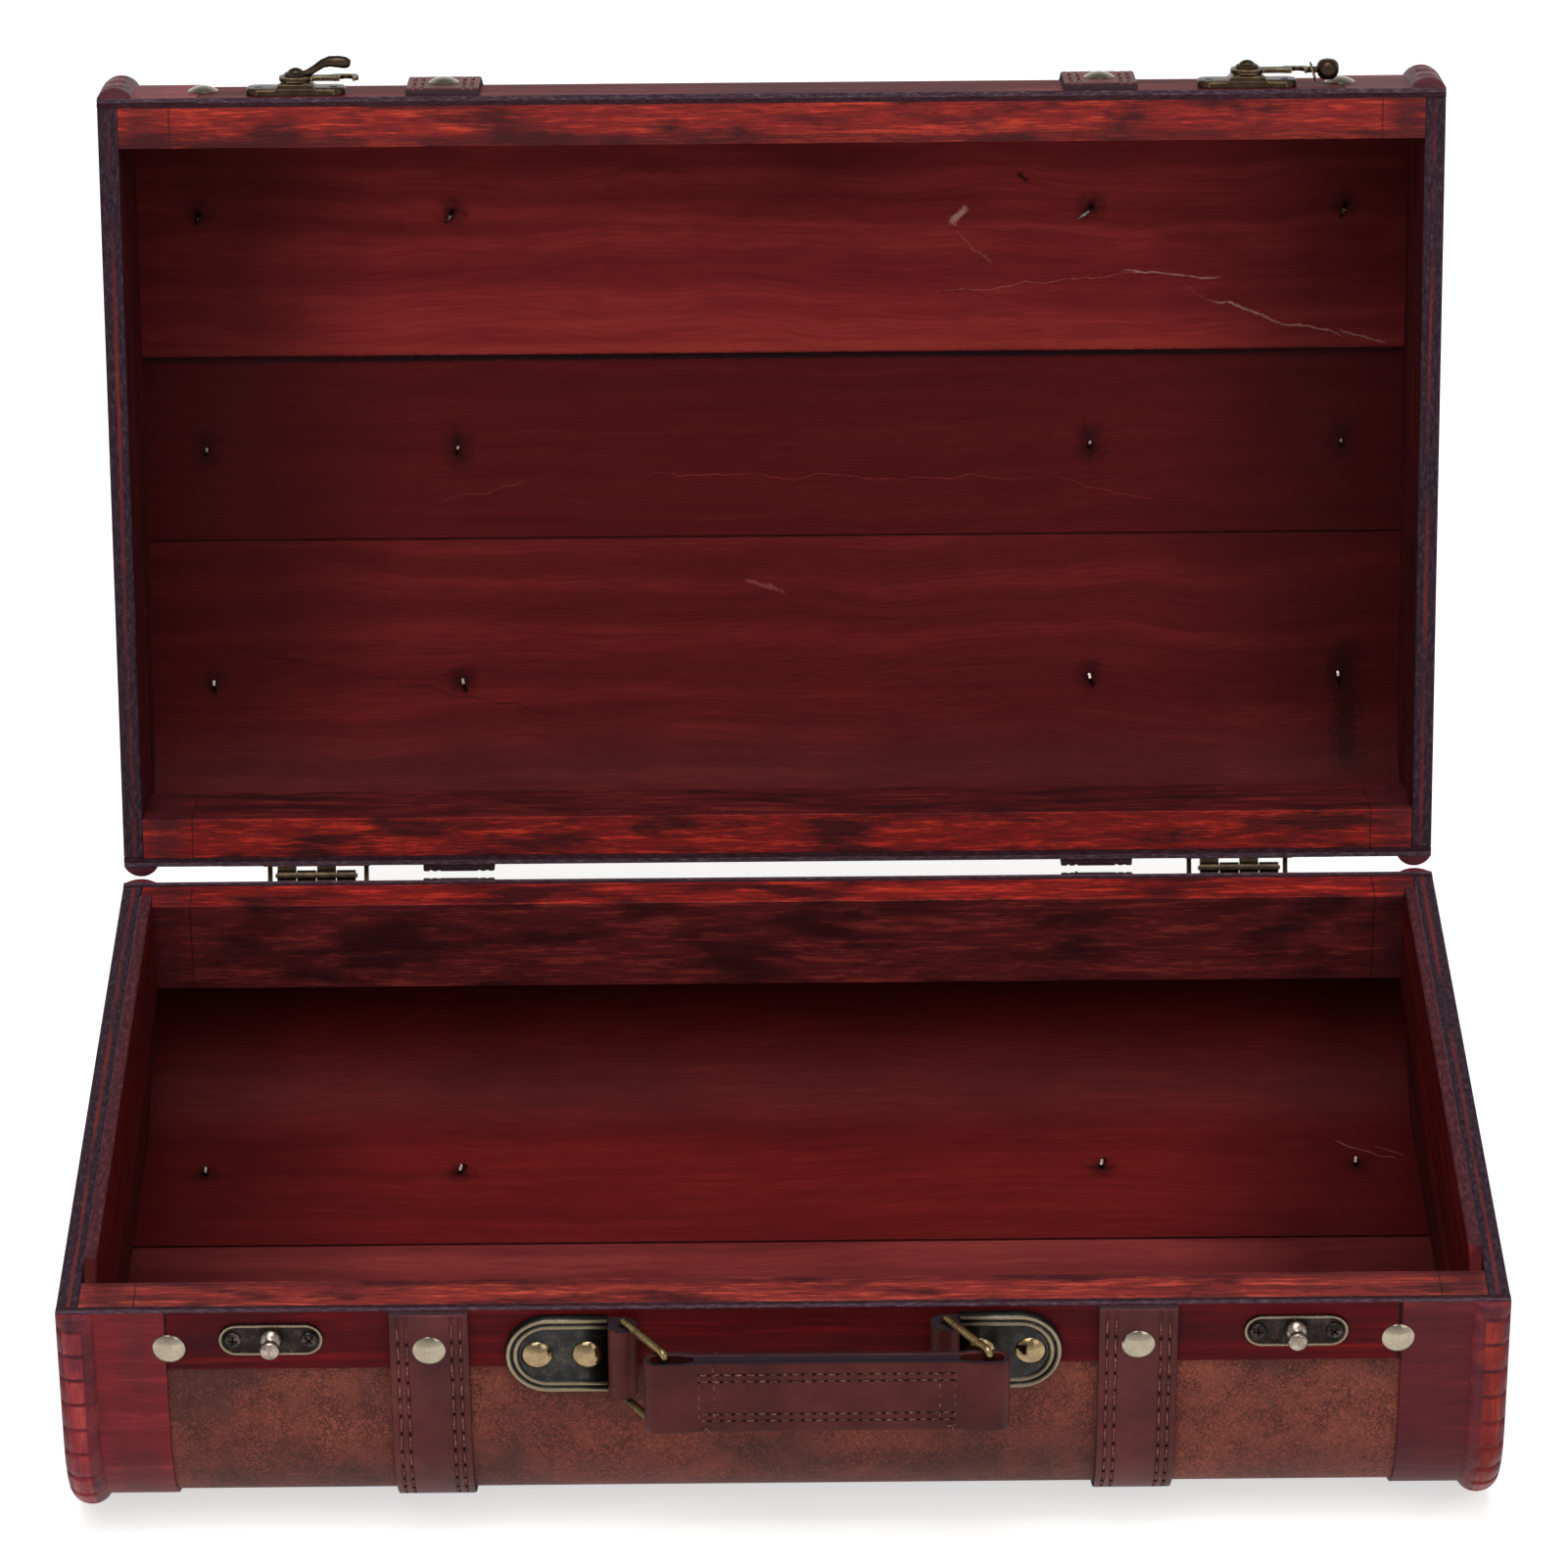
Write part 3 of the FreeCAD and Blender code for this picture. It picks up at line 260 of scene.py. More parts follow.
        # painted shade and grime darken the boards toward the walls and corners
        side, reach, full, nearer = look["walls"]
        mid = addNode(tree, "VectorMath", {0: coords, 1: (-look["seed"], -case["depth"] / 2, 0)},
                      operation="ADD")
        parts = addNode(tree, "SeparateXYZ", {
            "Vector": addNode(tree, "VectorMath", {0: mid}, operation="ABSOLUTE")})
        wavy = addNode(tree, "Math", {0: cloud, 1: reach * 1.6}, operation="MULTIPLY")
        deepWall = addNode(tree, "Math", {0: parts.outputs["Y"], 1: nearer}, operation="ADD")
        near = addNode(tree, "Math", {0: parts.outputs["X"], 1: deepWall}, operation="MAXIMUM")
        near = addNode(tree, "Math", {0: near, 1: wavy}, operation="ADD")
        shadeAndGrime = addNode(tree, "MapRange", {
            "Value": near, "From Min": side - reach * 0.2, "From Max": side + reach,
            "To Min": 0.0, "To Max": full})
        tint = addNode(tree, "Mix", {0: shadeAndGrime, 6: tint, 7: colour(look["shadeAndGrime"])}, data_type="RGBA")
    gloss = addNode(tree, "MapRange", {
        "Value": ground, "From Min": middle - spread, "From Max": middle + spread,
        "To Min": look["rough"] + 0.12, "To Max": look["rough"]})
    relief = addNode(tree, "Math", {0: hair, 1: poreMask}, operation="SUBTRACT")
    finishMaterial(tree, tint, gloss, relief, look["relief"], gloss=look["gloss"])
    return material


def distanceMask(tree, coords, seed, spots, reach):
    # dark bloom round tack tines, in mirrored pairs about the middle of the panel
    middle = addNode(tree, "VectorMath", {0: coords, 1: (-seed, -case["depth"] / 2, 0)}, operation="ADD")
    folded = addNode(tree, "VectorMath", {0: middle}, operation="ABSOLUTE")
    flat = addNode(tree, "VectorMath", {0: folded, 1: (1, 1, 0)}, operation="MULTIPLY")
    wobble = addNode(tree, "TexNoise", {"Vector": coords, "Scale": 0.5, "Detail": 3.0})
    nearest = None
    for spot in spots:
        away = addNode(tree, "VectorMath", {0: flat, 1: (spot[0], spot[1], 0)},
                       operation="DISTANCE").outputs["Value"]
        if nearest is not None:
            away = addNode(tree, "Math", {0: away, 1: nearest}, operation="MINIMUM")
        nearest = away
    ragged = addNode(tree, "Math", {0: wobble, 1: reach, 2: nearest}, operation="MULTIPLY_ADD")
    return addNode(tree, "MapRange", {
        "Value": ragged, "From Min": reach * 0.6, "From Max": reach * 1.35, "To Min": 0.75, "To Max": 0.0})


def raggedBand(tree, coords, tint, place, wide, code, full, axis="Y"):
    # ragged band of one colour across a board: dark joints, laps and slits, and on the lid a painted shadow
    # and a painted highlight along the front board's edge
    across = addNode(tree, "SeparateXYZ", {"Vector": coords}).outputs[axis]
    chewed = addNode(tree, "TexNoise", {"Vector": coords, "Scale": 0.7, "Detail": 4.0, "Roughness": 0.7})
    shifted = addNode(tree, "Math", {0: chewed, 1: wide, 2: across}, operation="MULTIPLY_ADD")
    off = addNode(tree, "Math", {0: shifted, 1: place + wide / 2}, operation="SUBTRACT")
    off = addNode(tree, "Math", {0: off}, operation="ABSOLUTE")
    mask = addNode(tree, "MapRange", {
        "Value": off, "From Min": wide * 0.3, "From Max": wide, "To Min": full, "To Max": 0.0})
    return addNode(tree, "Mix", {0: mask, 6: tint, 7: colour(code)}, data_type="RGBA")


def scratch(tree, coords, tint, start, end, wide, code, strength):
    # a bare scrape between two points of the board, ragged in width
    line = Vector((end[0] - start[0], end[1] - start[1], 0))
    long = line.length
    unit = line.normalized()
    flat = addNode(tree, "VectorMath", {0: coords, 1: (-start[0], -start[1], 0)}, operation="ADD")
    wander = addNode(tree, "TexNoise", {"Vector": coords, "Scale": 0.09, "Detail": 3.0})
    away = addNode(tree, "VectorMath", {0: flat, 1: (-unit.y, unit.x, 0)},
                   operation="DOT_PRODUCT").outputs["Value"]
    bowed = addNode(tree, "Math", {0: wander, 1: 5.0, 2: away}, operation="MULTIPLY_ADD")
    centred = addNode(tree, "Math", {0: bowed, 1: 2.5}, operation="SUBTRACT")
    side = addNode(tree, "Math", {0: centred}, operation="ABSOLUTE")
    run = addNode(tree, "VectorMath", {0: flat, 1: unit}, operation="DOT_PRODUCT").outputs["Value"]
    inside = addNode(tree, "Math", {0: run, 1: long / 2}, operation="SUBTRACT")
    inside = addNode(tree, "Math", {0: inside}, operation="ABSOLUTE")
    ends = addNode(tree, "MapRange", {
        "Value": inside, "From Min": long * 0.35, "From Max": long / 2, "To Min": 1.0, "To Max": 0.0})
    chips = addNode(tree, "TexNoise", {"Vector": coords, "Scale": 0.8, "Detail": 4.0, "Roughness": 0.7})
    wideHere = addNode(tree, "Math", {0: chips, 1: wide * 2}, operation="MULTIPLY")
    gap = addNode(tree, "Math", {0: wideHere, 1: side}, operation="SUBTRACT")
    mask = addNode(tree, "MapRange", {
        "Value": gap, "From Min": wide * 0.35, "From Max": wide * 0.8, "To Min": 0.0, "To Max": strength})
    mask = addNode(tree, "Math", {0: mask, 1: ends}, operation="MULTIPLY")
    return addNode(tree, "Mix", {0: mask, 6: tint, 7: colour(code)}, data_type="RGBA")


# wear of the boards inside, in each half's own millimetres: dark halos round the tack tines, joints
# as (place, width, colour, strength), with a painted shadow and a painted highlight at the lid's front board
# edge among them, and scrapes, stains and cracks from a start to an end
lidSeed = 420.0
bare = "#c08d7c"
boardWear = {
    "lid": {
        "tines": [(144.5, 61), (80.5, 61), (80.5, 2), (144.5, 2)], "halo": 5.6,
        # first: painted shadow cast by the front board's edge onto the centre strip; second: a dark joint;
        # third: painted highlight along the front board's lower edge
        "joints": [(74.8, 1.3, "#14070a", 0.97), (122.0, 0.45, "#2a0f11", 0.8), (72.4, 1.6, "#9a3a2c", 0.35)],
        "scrapes": [
            ((45, 41.5), (49, 36.5), 1.5, bare, 0.85), ((46, 43), (56, 52), 0.5, "#8d4c42", 0.8),
            ((37.4, 59.6), (101, 53.2), 0.2, "#a3584a", 0.85), ((88, 53.5), (114, 55.5), 0.4, bare, 0.8),
            ((103.5, 57), (110, 61.4), 0.3, "#8d4a3f", 0.7), ((109, 61), (146, 71.5), 0.55, bare, 0.85),
            ((143, 69.5), (156, 72.8), 0.5, bare, 0.8),
            ((-8, 133), (3, 137), 0.8, "#8f4f47", 0.5), ((-152, 148), (-50, 170), 0.4, "#3a1114", 0.8),
            ((-62, 107), (-86, 113), 0.2, "#863630", 0.7), ((-40, 106), (70, 107), 0.2, "#82302a", 0.7),
            ((70, 107), (100, 114), 0.2, "#82302a", 0.7), ((62, 28), (65, 30), 1.6, "#2a0f12", 0.9),
            ((146, 148), (147, 186), 7.5, "#260c0f", 0.85)]},
    "base": {
        "tines": [(144.5, 56), (80.5, 56)], "halo": 6.0,
        "joints": [(74.2, 0.4, "#260d10", 0.7), (121.8, 0.4, "#260d10", 0.7)],
        "scrapes": [
            ((139, 166), (156, 156), 0.5, "#a36a59", 0.8), ((150, 164), (157, 158), 0.6, "#8d5a4d", 0.8),
            ((101, 52), (117, 36), 0.5, "#260b0e", 0.95), ((112, 74), (140, 70), 4.0, "#351416", 0.7)]},
}


def boardMarks(tree, coords, tint, look):
    wear, seed = boardWear[look["half"]], look["seed"]
    bloom = distanceMask(tree, coords, seed, wear["tines"], wear["halo"])
    tint = addNode(tree, "Mix", {0: bloom, 6: tint, 7: colour("#16080b")}, data_type="RGBA")
    for jointOrEdgeLight in wear["joints"]:
        tint = raggedBand(tree, coords, tint, *jointOrEdgeLight)
    for start, end, *rest in wear["scrapes"]:
        tint = scratch(tree, coords, tint, (start[0] + seed, start[1]), (end[0] + seed, end[1]), *rest)
    return tint


railWear = {
    "laps": (-147.5, 149.5), "line": 0.3, "lineTint": "#1f0c10", "older": 1.045, "olderWide": 6.5,
    "olderTint": "#40181d", "pooled": 1.2, "pooledWide": 1.9, "pooledTint": "#3d1418",
}
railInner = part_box("base_rail_front")[1][1] * 1000 - case["front"]


def railMarks(tree, coords, tint, look):
    # the rails are lapped near both ends: a dark line across, with older stain beyond it
    d, seed = railWear, look["seed"]
    for place in d["laps"]:
        tint = raggedBand(tree, coords, tint, place + seed, d["line"], d["lineTint"], 0.7, "X")
        tint = raggedBand(tree, coords, tint, place * d["older"] + seed, d["olderWide"], d["olderTint"], 0.6, "X")
    # stain pooled along the inner arris
    return raggedBand(tree, coords, tint, railInner - d["pooled"], d["pooledWide"], d["pooledTint"], 0.6)


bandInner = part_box("base_band_right")[0][0] * 1000


def bandSlits(tree, coords, tint, look):
    # a dark slit stays open where the rim strips meet the end bands
    for side, wide in ((-1, 0.35), (1, 0.6)):
        place = side * (bandInner - wide) + look["seed"]
        tint = raggedBand(tree, coords, tint, place, wide, "#12070a", 0.95, "X")
    return tint


# what the stained pieces share; each finish gives what differs, its tones from dark to bright
plainLook = {
    "hair": 3.0, "bend": 3.0, "broad": 0.3, "rings": 4.0, "figure": 0.25, "streak": 0.8, "fine": 0.5,
    "spread": 0.3, "pores": 0.5, "rimDeep": 0.2, "along": "x", "rough": 0.42, "relief": 0.0001, "gloss": 0.12,
}
railLook = {
    "grain": (22, 1.2), "hair": 3.8, "broad": 0.4, "figure": 0.2, "streak": 0.6, "fine": 0.95, "spread": 0.33,
    "pores": 0.6, "cloud": (0.035, 0.13, 0.13), "cloudCut": (0.48, 0.62), "cloudFull": 0.85,
    "tones": ("#4a1314", "#651b1c", "#842520"), "stain": "#321217", "pore": "#2a0f15",
    "sawn": ("#5b1d1f", "#842d28", "#bb4c38"), "relief": 0.00014, "marks": railMarks,
}
panelLook = {
    "grain": (60, 2.0), "bend": 4.0, "figure": 0.3, "spread": 0.32, "pores": 0.45, "along": "y",
    "rimDeep": 0.35, "cloud": (0.05, 0.02, 0.05), "cloudCut": (0.44, 0.7), "cloudFull": 0.75,
    "tones": ("#3b1416", "#4f191b", "#68231f"), "stain": "#2a1115", "pore": "#230f14",
    "edge": ("#231720", "#36252e", "#54424c"), "plies": 162.3,
    "rough": 0.52, "relief": 0.00012, "gloss": 0.06,
}
trimLook = {
    "grain": (45, 1.6), "cloud": (0.02, 0.07, 0.07), "cloudCut": (0.46, 0.7), "cloudFull": 0.7,
    "tones": ("#410a0f", "#5a0e12", "#791619"), "stain": "#301117", "pore": "#270c11",
    "edge": ("#2e1f28", "#4b3741", "#75626a"), "gloss": 0.06, "marks": bandSlits,
}
bandLook = {
    "grain": (26, 1.8), "streak": 0.7, "fine": 0.6, "spread": 0.42, "pores": 0.4,
    "cloud": (0.05, 0.028, 0.028), "cloudCut": (0.48, 0.72), "cloudFull": 0.65,
    "tones": ("#5d191f", "#7c2428", "#983133"), "stain": "#3e1a22", "pore": "#32161d",
    "edge": trimLook["edge"],
}
beadLook = {
    "grain": (12, 1.2), "hair": 2.5, "bend": 2.0, "broad": 0.5, "rings": 3.0, "spread": 0.32, "rimDeep": 0.3,
    "cloud": (0.14, 0.05, 0.05), "cloudCut": (0.5, 0.68), "cloudFull": 0.75,
    "tones": ("#501c24", "#69242c", "#863033"), "stain": "#36202a", "pore": "#2c141b", "rough": 0.4,
}
# brighter red of the raised pads between the bead's notches: the red of the wood, partly painted highlight on
# the raised pads
cellLook = {
    "grain": (1.6, 9), "hair": 2.5, "bend": 1.5, "broad": 0.5, "rings": 3.0, "figure": 0.3, "pores": 0.35,
    "rimDeep": 0.3, "cloud": (0.14, 0.06, 0.06), "cloudCut": (0.54, 0.7), "cloudFull": 0.6,
    "tones": ("#621819", "#7f2420", "#9d362c"), "stain": "#4a1a20", "pore": "#44151a", "rough": 0.34,
}
boardLook = {
    "grain": (90, 2.6), "hair": 3.6, "bend": 13.0, "broad": 0.15, "rings": 6.0, "figure": 0.26,
    "streak": 0.42, "fine": 0.62, "spread": 0.4, "pores": 0.3,
    "cloud": (0.012, 0.026, 0.026), "cloudCut": (0.5, 0.74), "cloudFull": 0.5,
    "tones": ("#63191b", "#7e2526", "#9c3530"), "stain": "#4d0f10", "pore": "#441215",
    # the last walls entry and its colour are painted shade and grime toward the walls and corners
    "edge": ("#2c1a21", "#42303a", "#5e4950"), "walls": (128, 34, 0.62, 34), "shadeAndGrime": "#280709",
    "rough": 0.52, "relief": 0.00008, "gloss": 0.05, "marks": boardMarks,
}
woodLooks = {
    "rail": railLook,
    "railBack": railLook | {
        "grain": (16, 1.3), "hair": 3.4, "figure": 0.25, "streak": 0.7, "fine": 0.9, "spread": 0.3,
        "cloudCut": (0.46, 0.62), "tones": ("#3c1214", "#54181a", "#6e2521"), "stain": "#2a0e12",
        "pore": "#220c11", "sawn": ("#5c1416", "#831f1b", "#b53224")},
    "panel": panelLook,
    "liner": {key: value for key, value in panelLook.items() if key != "plies"} | {
        "spread": 0.34, "pores": 0.4, "rimDeep": -3.6, "cloudCut": (0.46, 0.7), "cloudFull": 0.7,
        "tones": ("#400d0c", "#541213", "#6b1c17"), "stain": "#300f12", "pore": "#280d12",
        "edge": ("#33191f", "#4a2429", "#66383a"), "relief": 0.0001},
    "trim": trimLook,
    "band": bandLook,
    "bandDeep": bandLook | {
        "cloudCut": (0.46, 0.7), "cloudFull": 0.7,
        "tones": ("#45161d", "#5b1c23", "#73272b"), "stain": "#321820", "pore": "#2a1218"},
    "bead": beadLook,
    "cell": cellLook,
    "cellDull": cellLook | {
        "cloudCut": (0.5, 0.7), "cloudFull": 0.7,
        "tones": ("#76282f", "#94343a", "#b34844"), "stain": "#4c2029", "pore": "#451a20", "rough": 0.36},
    "insideFront": boardLook,
    "insideStrip": boardLook,
    "insideBack": boardLook,
}
# the two halves and the boards inside differ a little in tone
halfLooks = {
    "lid": {
        "rail": {"tones": ("#4a1414", "#641c1a", "#842a20"), "sawn": ("#5c191a", "#872622", "#bd3f2c")},
        "bead": {"tones": ("#3c1d25", "#50262e", "#6a3338")},
        "cellDull": {"tones": ("#4a2028", "#602a31", "#7a373b")},
        "insideStrip": {"tones": ("#3f0e10", "#4f1315", "#601a18"), "grain": (200, 2.4), "figure": 0.12,
                        "cloudFull": 0.3},
        "insideBack": {"tones": ("#471113", "#5c191a", "#752420")}},
    "base": {
        "railBack": {"tones": ("#47181a", "#632022", "#80302b")},
        "insideFront": {"tones": ("#541d1f", "#6c2b2b", "#833934")},
        "insideStrip": {"tones": ("#551d1d", "#6e2929", "#853731")},
        # the base's back floor board takes darker tones: painted shade at the back of the floor
        "insideBack": {"tones": ("#460e0e", "#5c1515", "#731f1c"), "figure": 0.16}},
}


def woodSet(half, seed):
    finishes = {}
    for key, look in woodLooks.items():
        look = plainLook | look | halfLooks[half].get(key, {}) | {"half": half, "seed": seed}
        finishes[key] = stainedWood("stained_%s_%s" % (key, half), look)
    return finishes


def leatherette():
    # PVC-coated cloth printed to look like worn hide: matt, brown, covered in fine dark crackle
    material, tree = newMaterial("crackled_leatherette")
    coords = halfCoords(tree, "base")
    cloud = addNode(tree, "TexNoise", {"Vector": coords, "Scale": 0.035, "Detail": 5.0, "Roughness": 0.55})
    ground = addNode(tree, "ValToRGB", {"Fac": cloud}, stops=[
        (0.36, "#61352f"), (0.5, "#804237"), (0.66, "#934d3d")])
    # short dark wrinkles about 0.8 mm apart: the level lines of a fine noise
    wrinkle = addNode(tree, "TexNoise", {
        "Vector": coords, "Scale": 0.95, "Detail": 2.5, "Roughness": 0.55, "Distortion": 1.1})
    level = addNode(tree, "Math", {0: wrinkle, 1: 0.5}, operation="SUBTRACT")
    level = addNode(tree, "Math", {0: level}, operation="ABSOLUTE")
    line = addNode(tree, "MapRange", {
        "Value": level, "From Min": 0.016, "From Max": 0.07, "To Min": 1.0, "To Max": 0.0})
    fade = addNode(tree, "TexNoise", {"Vector": coords, "Scale": 0.12, "Detail": 4.0, "Roughness": 0.65})
    patchy = addNode(tree, "MapRange", {
        "Value": fade, "From Min": 0.36, "From Max": 0.6, "To Min": 0.4, "To Max": 0.88})
    mask = addNode(tree, "Math", {0: line, 1: patchy}, operation="MULTIPLY")
    tint = addNode(tree, "Mix", {0: mask, 6: ground, 7: colour("#3a201d")}, data_type="RGBA")
    relief = addNode(tree, "Math", {0: 1.0, 1: mask}, operation="SUBTRACT")
    finishMaterial(tree, tint, 0.56, relief, 0.00014)
    return material


def strapLeather(name, deep, mid, pale):
    # split leather with a smooth brown-red pigment coat: fine pores, soft sheen, darker along the edges
    material, tree = newMaterial(name)
    coords = halfCoords(tree, "base")
    cloud = addNode(tree, "TexNoise", {"Vector": coords, "Scale": 0.06, "Detail": 5.0, "Roughness": 0.6})
    ground = addNode(tree, "ValToRGB", {"Fac": cloud}, stops=[
        (0.35, deep), (0.52, mid), (0.68, pale)])
    pebble = addNode(tree, "TexVoronoi", {"Vector": coords, "Scale": 2.2, "Randomness": 1.0})
    specks = addNode(tree, "TexNoise", {"Vector": coords, "Scale": 1.4, "Detail": 6.0, "Roughness": 0.75})
    mask = addNode(tree, "MapRange", {
        "Value": specks, "From Min": 0.55, "From Max": 0.75, "To Min": 0.0, "To Max": 0.45})
    tint = addNode(tree, "Mix", {0: mask, 6: ground, 7: colour("#3d1c1f")}, data_type="RGBA")
    finishMaterial(tree, tint, 0.46, pebble, 0.00006)
    return material


def cutLeather(name, deep, mid, pale):
    # cut leather edge, blackened with edge dye and fuzzy with fibre
    material, tree = newMaterial(name)
    coords = halfCoords(tree, "base")
    fibre = addNode(tree, "TexNoise", {"Vector": coords, "Scale": 2.6, "Detail": 6.0, "Roughness": 0.8})
    tint = addNode(tree, "ValToRGB", {"Fac": fibre}, stops=[
        (0.35, deep), (0.55, mid), (0.75, pale)])
    finishMaterial(tree, tint, 0.8, fibre, 0.00025)
    return material


def sewingThread(name, deep, mid, pale):
    # waxed polyester thread, tan under the brown that rubbed into it
    material, tree = newMaterial(name)
    coords = halfCoords(tree, "base")
    twist = addNode(tree, "TexNoise", {"Vector": coords, "Scale": 1.3, "Detail": 3.0, "Roughness": 0.7})
    tint = addNode(tree, "ValToRGB", {"Fac": twist}, stops=[
        (0.36, deep), (0.5, mid), (0.68, pale)])
    finishMaterial(tree, tint, 0.7, twist, 0.0001)
    return material


def needleShade():
    # painted shade: a dark blob stands in for the shade inside a punched needle hole or a screw's cross
    # recess
    material, tree = newMaterial("needle_hole")
    coords = halfCoords(tree, "base")
    fibre = addNode(tree, "TexNoise", {"Vector": coords, "Scale": 3.0, "Detail": 2.0})
    tint = addNode(tree, "ValToRGB", {"Fac": fibre}, stops=[(0.4, "#1c1112"), (0.65, "#33201f")])
    finishMaterial(tree, tint, 0.9, gloss=0.0)
    return material


def agedBrass(name, look):
    # pressed brass with an applied brown patina that the polishing wheel rubbed off the high places
    material, tree = newMaterial(name)
    coords = halfCoords(tree, "base")
    cloud = addNode(tree, "TexNoise", {"Vector": coords, "Scale": 0.35, "Detail": 6.0, "Roughness": 0.65})
    fine = addNode(tree, "TexNoise", {"Vector": coords, "Scale": 2.4, "Detail": 5.0, "Roughness": 0.7})
    mixed = addNode(tree, "Math", {0: cloud, 1: fine}, operation="MULTIPLY")
    low, high = look["cut"]
    tint = addNode(tree, "ValToRGB", {"Fac": mixed}, stops=[
        (low, look["patina"]), ((low + high) / 2, look["brown"]), (high, look["metal"])])
    if "high" in look:
        # the wheel bared the raised rims, which stand off the front face
        proud = addNode(tree, "SeparateXYZ", {"Vector": coords}).outputs["Y"]
        rise = addNode(tree, "Math", {0: fine, 1: -0.35, 2: proud}, operation="MULTIPLY_ADD")
        bare = addNode(tree, "MapRange", {
            "Value": rise, "From Min": -look["high"][0] - 0.17, "From Max": -look["high"][1] - 0.17,
            "To Min": 0.0, "To Max": 0.9})
        tint = addNode(tree, "Mix", {0: bare, 6: tint, 7: colour(look["worn"])}, data_type="RGBA")
    rough = addNode(tree, "MapRange", {
        "Value": mixed, "From Min": low, "From Max": high, "To Min": look["dull"], "To Max": look["shine"]})
    finishMaterial(tree, tint, rough, fine, look["relief"], metallic=look["metallic"])
    return material


brassLooks = {
    "bronze": {"cut": (0.08, 0.42), "patina": "#2a221b", "brown": "#3b3026", "metal": "#5a4936",
               "dull": 0.4, "shine": 0.28, "relief": 0.000008, "metallic": 1.0},
    "worn": {"cut": (0.08, 0.36), "patina": "#4e402d", "brown": "#776347", "metal": "#a48d68",
             "dull": 0.34, "shine": 0.22, "relief": 0.000006, "metallic": 1.0},
    "tack": {"cut": (0.04, 0.42), "patina": "#827565", "brown": "#988c7a", "metal": "#aea392",
             "dull": 0.2, "shine": 0.13, "relief": 0.000002, "metallic": 1.0},
    "dark": {"cut": (0.2, 0.38), "patina": "#1c1715", "brown": "#2a2220", "metal": "#463a34",
             "dull": 0.46, "shine": 0.34, "relief": 0.00001, "metallic": 0.9, "high": (0.66, 0.9),
             "worn": "#a39279"},
    "plate": {"cut": (0.2, 0.38), "patina": "#232323", "brown": "#302f2e", "metal": "#4a453d",
              "dull": 0.44, "shine": 0.32, "relief": 0.00002, "metallic": 0.85, "high": (1.98, 2.45),
              "worn": "#a8967a"},
    "rivet": {"cut": (0.06, 0.38), "patina": "#6f5d44", "brown": "#8a7658", "metal": "#a8936f",
              "dull": 0.22, "shine": 0.15, "relief": 0.000003, "metallic": 1.0},
    "ring": {"cut": (0.15, 0.3), "patina": "#5a4932", "brown": "#7f6c4b", "metal": "#a59063",
             "dull": 0.34, "shine": 0.25, "relief": 0.00001, "metallic": 1.0},
    "knob": {"cut": (0.12, 0.3), "patina": "#564c46", "brown": "#7e7068", "metal": "#a99b8e",
             "dull": 0.34, "shine": 0.24, "relief": 0.00001, "metallic": 1.0},
    "tine": {"cut": (0.15, 0.35), "patina": "#332c29", "brown": "#554b45", "metal": "#857a70",
             "dull": 0.34, "shine": 0.22, "relief": 0.00001, "metallic": 1.0},
    # dark steel of the keeper screws; on tack and rivet heads the same finish is a painted shadow ring at the
    # foot
    "steel": {"cut": (0.18, 0.36), "patina": "#161414", "brown": "#2a2623", "metal": "#5a524b",
              "dull": 0.45, "shine": 0.3, "relief": 0.00002, "metallic": 0.9},
}

woods = {"base": woodSet("base", 0.0), "lid": woodSet("lid", lidSeed)}
hide = leatherette()
leather = strapLeather("pigmented_strap_leather", "#472021", "#592828", "#68322f")
# the strap leather again, made darker for the handle and its tabs: painted shade for the handle's upright
# face, which gets less light from above
shadedHandleLeather = strapLeather("pigmented_handle_leather", "#3a1716", "#4b1d1b", "#592622")
leatherEdge = cutLeather("dyed_strap_edge", "#241a1f", "#3d2a30", "#6c4f4f")
handleEdge = cutLeather("dyed_handle_edge", "#191317", "#2a1f25", "#4c3b40")
thread = sewingThread("waxed_strap_thread", "#4a2b27", "#7b5044", "#a97f68")
handleThread = sewingThread("waxed_handle_thread", "#3a2220", "#643e34", "#8f6551")
holeShade = needleShade()
brass = {key: agedBrass("aged_brass_" + key, look) for key, look in brassLooks.items()}
print("finishes made")


softEdge = {"wide": 0.00022, "segments": 2, "angle": 35}


def dress(node, material, edgeMaterial=None, wide=None):
    # the node's own form with its sharp arrises eased, as sandpaper leaves them
    source = frame["nodes"][node]
    bm = bmesh.new()
    bm.from_mesh(source.data)
    bmesh.ops.transform(bm, matrix=source.matrix_world, verts=bm.verts)
    bmesh.ops.remove_doubles(bm, verts=bm.verts, dist=0.000002)
    bmesh.ops.dissolve_limit(bm, angle_limit=math.radians(0.5), verts=bm.verts, edges=bm.edges)
    bmesh.ops.recalc_face_normals(bm, faces=bm.faces)
    body = source.parent.name.split(":")[-1]
    materials = [material] + ([edgeMaterial] if edgeMaterial else [])
    obj = makeObject(bm, node + "_piece", body, materials)
    bevel = obj.modifiers.new("eased", "BEVEL")
    bevel.width = wide or softEdge["wide"]
    bevel.segments = softEdge["segments"]
    bevel.limit_method = "ANGLE"
    bevel.angle_limit = math.radians(softEdge["angle"])
    bevel.material = 1 if edgeMaterial else -1
    bevel.harden_normals = False
    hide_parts(node)
    return obj


